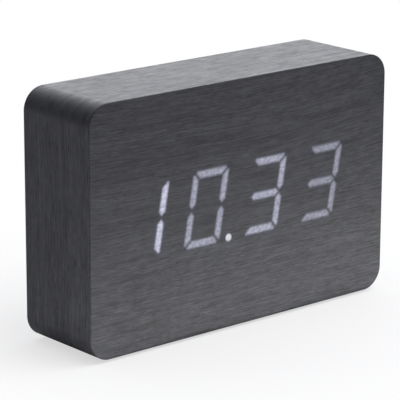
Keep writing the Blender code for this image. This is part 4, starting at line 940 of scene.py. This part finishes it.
for node in buttonNames:
    makeButton(node)
print("buttons made")

# the four cover screws: a domed head with a tapered cross recess, turned by so many degrees (always, on the
# right, above); dome, skirt and under are shares of the head, root and point of the shank, crest and flank of
# the pitch
screw = {"head": 5.0 * mm, "headHigh": 1.4 * mm, "dome": (0.42, 0.58), "skirt": (0.28, 0.72),
         "under": 0.97, "underEdge": 0.08 * mm, "neck": 0.2 * mm, "shank": 2.6 * mm, "root": 0.80,
         "long": 10.0 * mm, "point": 0.35, "pointLong": 0.4 * mm, "tip": 1.0 * mm, "plain": 0.6 * mm,
         "pitch": 0.9 * mm, "crest": 0.35, "flank": 0.7, "cross": 2.9 * mm, "slot": 0.75 * mm,
         "deep": 0.85 * mm, "mouth": 0.6 * mm, "taper": 0.72, "turned": (17, 31, 12)}


def makeCoverScrew(node):
    place = middleOf(node)
    high = screw["headHigh"]
    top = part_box(node)[1].y
    seat = top - high
    end = seat - screw["long"]
    head = screw["head"] / 2
    shank = screw["shank"] / 2
    root = shank * screw["root"]
    pitch = screw["pitch"]
    profile = [(0, end), (shank * screw["point"], end + screw["pointLong"])]
    for number in range(int((screw["long"] - screw["tip"] - screw["plain"]) / pitch)):
        low = end + screw["tip"] + number * pitch
        profile += [(root, low), (shank, low + pitch * screw["crest"]), (root, low + pitch * screw["flank"])]
    flat, curved = screw["dome"]
    skirt, rise = screw["skirt"]
    profile += [(root, seat - screw["neck"]), (shank, seat), (head * screw["under"], seat),
                (head, seat + screw["underEdge"]), (head, seat + high * skirt)]
    profile += [(head * (flat + curved * out), seat + high * (skirt + rise * up))
                for out, up in quarterTurn(7)]
    profile.append((0, top))
    bm = addTurned(bmesh.new(), profile, node, 40)
    piece = finishPiece(pieceName(node), bm, ["metal"], (node,))
    # the cross recess, narrower at its bottom
    always, onRight, above = screw["turned"]
    way = radians(always + onRight * (place.x > 0) + above * (place.z > middleOf("back_cover").z))
    turned = Matrix.Translation(place) @ Matrix.Rotation(way, 4, "Y") @ Matrix.Translation(-place)
    for wide, tall in ((screw["cross"], screw["slot"]), (screw["slot"], screw["cross"])):
        bm = bmesh.new()
        ends = cornersAt(place.x, place.z, wide, tall, top - screw["deep"], top + screw["mouth"])
        for v in addBlock(bm, *ends):
            if v.co.y < top:
                v.co.x = place.x + (v.co.x - place.x) * screw["taper"]
                v.co.z = place.z + (v.co.z - place.z) * screw["taper"]
        bmesh.ops.transform(bm, matrix=turned, verts=bm.verts)
        cutWith(piece, bm)


for node in screwNames:
    makeCoverScrew(node)
print("cover screws made")

# the foot pads
foot = {"edge": 0.25 * mm, "upperEdge": (0.05 * mm, 0.06 * mm)}


def makeFootPad(node):
    low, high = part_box(node)
    radius = (high.x - low.x) / 2
    edge = foot["edge"]
    inward, down = foot["upperEdge"]
    profile = [(0, low.z), (radius - edge, low.z)]
    profile += [(radius - edge + edge * up, low.z + edge - edge * out) for out, up in quarterTurn(4)]
    profile += [(radius, high.z - down), (radius - inward, high.z), (0, high.z)]
    bm = addTurned(bmesh.new(), profile, node, 56, "Z")
    finishPiece(pieceName(node), bm, ["foam"], (node,))


for node in numbered("foot_pad", 4):
    makeFootPad(node)
print("foot pads made")

# the power socket behind its hole: a plastic body, a spring contact and a bright pin, whose end is in steps
# of (share of its radius, how far below its tip)
socket = {"bore": 6.2 * mm, "boreDeep": 8.0 * mm, "edge": 0.3 * mm, "pin": 2.0 * mm, "pinDrop": 4.6 * mm,
          "root": 0.5 * mm, "pinEnd": ((1, 0.5 * mm), (0.75, 0.12 * mm), (0.4, 0), (0, 0)),
          "leaf": {"wide": 2.2 * mm, "thick": 0.4 * mm, "edge": 0.12 * mm, "drop": 1.6 * mm, "gap": 0.1 * mm,
                   "sunk": 0.2 * mm}}


def makeSocket():
    low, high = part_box("dc_jack")
    place = middleOf("dc_jack")
    edge = socket["edge"]
    bm = bmesh.new()
    softBlock(bm, low, high, edge)
    body = finishPiece("powerSocket", bm, ["plastic"], ("dc_jack",))
    floor = high.y - socket["boreDeep"]
    bore = socket["bore"] / 2
    profile = [(0, floor), (bore, floor), (bore, high.y - edge), (bore + edge, high.y),
               (bore + edge, high.y + beyond), (0, high.y + beyond)]
    cutWith(body, addTurned(bmesh.new(), profile, "dc_jack"))
    pin = socket["pin"] / 2
    tip = high.y - socket["pinDrop"]
    root = floor - socket["root"]
    profile = [(0, root), (pin, root)] + [(pin * share, tip - below) for share, below in socket["pinEnd"]]
    bm = addTurned(bmesh.new(), profile, "dc_jack", 32)
    leaf = socket["leaf"]
    z = place.z - bore + leaf["gap"] + leaf["thick"] / 2
    ends = cornersAt(place.x, z, leaf["wide"], leaf["thick"], floor - leaf["sunk"], high.y - leaf["drop"])
    softBlock(bm, *ends, leaf["edge"])
    finishPiece("socketContacts", bm, ["metal"])


makeSocket()
print("power socket made")

# the three cells, with a sleeve and bare ends
cell = {"diameter": 10.5 * mm, "nub": 3.8 * mm, "nubLong": 1.0 * mm, "nubTop": 0.8, "lip": 0.35 * mm,
        "rim": 1.0 * mm, "sunk": 0.25 * mm, "dent": 0.2 * mm, "slope": 0.1 * mm}


def makeCell(number, way):
    # way is the side of its bumped end
    node = "battery_%d" % number
    low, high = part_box(node)
    place = middleOf(node)
    tip, flat = (high.x, low.x) if way > 0 else (low.x, high.x)
    radius = cell["diameter"] / 2
    nub = cell["nub"] / 2
    lip = cell["lip"]
    inner = radius - cell["rim"]
    slope = cell["slope"]
    shoulder = tip - way * cell["nubLong"]
    ledge = shoulder - way * cell["sunk"]
    dent = way * cell["dent"]
    profile = [(0, tip), (nub * cell["nubTop"], tip), (nub, tip - dent), (nub, ledge), (inner - slope, ledge),
               (inner, shoulder)]
    profile += [(radius - lip + lip * up, shoulder - way * (lip - lip * out)) for out, up in quarterTurn(5)]
    profile += [(radius - lip + lip * out, flat + way * (lip - lip * up)) for out, up in quarterTurn(5, 0)]
    profile += [(inner + slope, flat), (inner, flat + dent), (0, flat + dent)]
    bm = addTurned(bmesh.new(), profile, node, 64, "X")
    for face in bm.faces:
        out = max(hypot(v.co.y - place.y, v.co.z - place.z) for v in face.verts)
        face.material_index = 1 if out < inner + slope / 2 else 0
    finishPiece("cell%d" % number, bm, ["cell", "metal"], (node,))


makeCell(1, -1)
makeCell(2, 1)
makeCell(3, -1)
print("cells made")

# the cone springs at the flat ends of the cells
spring = {"wire": 0.5 * mm, "base": 3.6 * mm, "tip": 1.7 * mm, "turns": 3.25, "pointsPerTurn": 28,
          "tailedLong": 4.2 * mm}


def makeSpring(number, way, tailed=False):
    # way is the side of the cell that the spring is on; a tailed one runs on to the wall in a straight wire
    low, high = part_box("battery_spring_%d" % number)
    place = middleOf("battery_%d" % number)
    wire = spring["wire"]
    wall, near = high.x - wire / 2, low.x + wire / 2
    if way < 0:
        wall, near = near, wall
    points = []
    if tailed:
        wall = near + way * (spring["tailedLong"] - wire)
        points.append((high.x, place.y, place.z + spring["base"]))
    count = round(spring["turns"] * spring["pointsPerTurn"])
    for step in range(count + 1):
        share = step / count
        turn = 2 * pi * spring["turns"] * share
        radius = spring["base"] + (spring["tip"] - spring["base"]) * share
        points.append((wall + (near - wall) * share, place.y + radius * sin(turn),
                       place.z + radius * cos(turn)))
    curve = bpy.data.curves.new("cellSpring%d" % number, "CURVE")
    curve.dimensions = "3D"
    curve.bevel_depth = wire / 2
    curve.bevel_resolution = 3
    curve.use_fill_caps = True
    spline = curve.splines.new("POLY")
    spline.points.add(len(points) - 1)
    for target, point in zip(spline.points, points):
        target.co = (*point, 1)
    curve.materials.append(finishes["metal"])
    piece = newObject("cellSpring%d" % number, curve)
    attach(piece, "case")
    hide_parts("battery_spring_%d" % number)


makeSpring(1, 1)
makeSpring(2, -1)
makeSpring(3, 1, tailed=True)
print("springs made")

# CAD nodes that keep their shape get their finish here
carried = {
    "rawBoard": ["front_board"],
    "plastic": ["display_reflector"],
    "film": ["digit_%d_diffuser" % number for number in range(1, 5)],
    "board": ["display_board", "control_board"],
    "chip": ["display_driver_chip", "control_chip", "buzzer"] + numbered("switch_body", 3)
            + numbered("switch_plunger", 3),
    "metal": ["microphone", "clock_crystal"] + numbered("display_screw", 4)
             + numbered("control_board_screw", 2) + numbered("battery_plate", 3),
    "sleeve": ["smoothing_capacitor"],
    "cable": ["ribbon_cable"],
    "redLead": ["battery_lead_red"],
    "blackLead": ["battery_lead_black"],
}
for finish, nodes in carried.items():
    for node in nodes:
        slots = frame["nodes"][node].data.materials
        slots.clear()
        slots.append(finishes[finish])
print("carried nodes dressed")

# camera, as in the photograph
camera = {
    "azimuth": -40.72,
    "elevation": 15.50,
    "roll": 0.225,
    "distance": 0.9097,
    "aim": (-0.00542, 0, 0.0481),
    "lens": 207.8,
    "range": (0.05, 50),
}


def makeCamera():
    lens = bpy.data.cameras.new("camera")
    lens.lens = camera["lens"]
    lens.sensor_width = 36
    lens.clip_start, lens.clip_end = camera["range"]
    holder = newObject("camera", lens)
    turn = radians(camera["azimuth"])
    lift = radians(camera["elevation"])
    back = Vector((sin(turn) * cos(lift), -cos(turn) * cos(lift), sin(lift)))
    holder.location = Vector(camera["aim"]) + back * camera["distance"]
    aim = (-back).to_track_quat("-Z", "Y").to_matrix() @ Matrix.Rotation(radians(camera["roll"]), 3, "Z")
    holder.rotation_euler = aim.to_euler()
    bpy.context.scene.camera = holder


makeCamera()

# pale floor: near the object the camera sees its soft shadow, further off plain white
floor = {
    "size": 6.0,
    "down": 0.02 * mm,
    "colour": (0.80, 0.80, 0.81),
    # reflections see the floor darker than it is lit: painted shade in what the case's sides and front mirror
    "paintedShadeInMirror": (0.62, 0.62, 0.645),
    "colourInView": (0.94, 0.94, 0.945),
    "white": (0.60, 1.0),
    "near": 0.05,
    "far": 0.20,
}


def plainlySeen(tree, path):
    # the camera's rays and those that have come through something clear
    return mathNode(tree, "MAXIMUM", path["Is Camera Ray"], path["Is Transmission Ray"])


def makeFloor():
    bm = bmesh.new()
    bmesh.ops.create_circle(bm, cap_ends=True, segments=96, radius=floor["size"])
    ground = newObject("floor", storeIn(bpy.data.meshes.new("floor"), bm))
    ground.location.z = -floor["down"]
    material, tree, shader = newMaterial("paleFloor", 0.9, Specular_IOR_Level=0.1)
    path = newNode(tree, "LightPath").outputs
    seen = plainlySeen(tree, path)
    colour = mixColour(tree, path["Is Glossy Ray"], floor["colour"], floor["paintedShadeInMirror"])
    feed(tree, shader, Base_Color=mixColour(tree, seen, colour, floor["colourInView"]))
    parts = newNode(tree, "SeparateXYZ", {0: objectPlace(tree)}).outputs
    flat = newNode(tree, "CombineXYZ", {0: parts[0], 1: parts[1]}).outputs[0]
    away = newNode(tree, "VectorMath", {0: flat}, operation="LENGTH").outputs["Value"]
    whiteness = spread(tree, away, floor["near"], floor["far"], *floor["white"], smooth=True)
    share = product(tree, seen, whiteness)
    white = newNode(tree, "Emission", {"Color": (1, 1, 1, 1), "Strength": 1.0})
    mixer = newNode(tree, "MixShader", {0: share, 1: shader.outputs[0], 2: white.outputs[0]})
    feed(tree, tree.nodes["Material Output"], Surface=mixer.outputs[0])
    ground.data.materials.append(material)


makeFloor()

# soft light: a wide lamp above and to the right, and two cards on the floor, out of the camera's sight, that
# shine upwards, a long one before the front and a faint one by the left side
lamps = {
    "above": {"place": (0.45, -0.55, 1.25), "aim": (0, 0, 0.05), "size": (1.2, 1.2), "power": 12.5},
    "card": {"place": (0.045, -0.072, 0.0005), "aim": (0.045, -0.072, 1), "size": (0.34, 0.10), "power": 0.2},
    "sideCard": {"place": (-0.125, 0.015, 0.0005), "aim": (-0.125, 0.015, 1), "size": (0.07, 0.07),
                 "power": 0.005},
}
for name, lamp in lamps.items():
    data = bpy.data.lights.new(name, "AREA")
    data.shape = "RECTANGLE"
    data.size, data.size_y = lamp["size"]
    data.energy = lamp["power"]
    holder = newObject(name, data)
    holder.location = lamp["place"]
    holder.rotation_euler = (Vector(lamp["aim"]) - Vector(lamp["place"])).to_track_quat("-Z", "Y").to_euler()
    holder.visible_camera = False

# the world: plain for the camera, and bright low behind on the right; light and mirror are (least, most)
world = {
    "toward": (0.64, 0.74, 0.16),
    "light": (0.12, 1.1),
    "mirror": (0.16, 2.36),
    "mirrorEdge": (0.48, 0.97),
    "tint": (0.94, 0.955, 1.0),
}


def makeWorld():
    sky = bpy.data.worlds.new("studio")
    bpy.context.scene.world = sky
    sky.use_nodes = True
    tree = sky.node_tree
    direction = newNode(tree, "TexCoord").outputs["Generated"]
    facing = newNode(tree, "VectorMath", {0: direction, 1: Vector(world["toward"]).normalized()},
                     operation="DOT_PRODUCT").outputs["Value"]
    light = spread(tree, facing, -1, 1, *world["light"])
    mirror = spread(tree, facing, *world["mirrorEdge"], *world["mirror"], smooth=True)
    path = newNode(tree, "LightPath").outputs
    seen = plainlySeen(tree, path)
    level = newNode(tree, "Mix", {0: path["Is Glossy Ray"], 2: light, 3: mirror}).outputs[0]
    strength = newNode(tree, "Mix", {0: seen, 2: level, 3: 1.0}).outputs[0]
    colour = mixColour(tree, seen, world["tint"], (1, 1, 1))
    feed(tree, tree.nodes["Background"], Color=colour, Strength=strength)


makeWorld()
bpy.context.scene.view_settings.view_transform = "Standard"
print("camera, floor and light set")
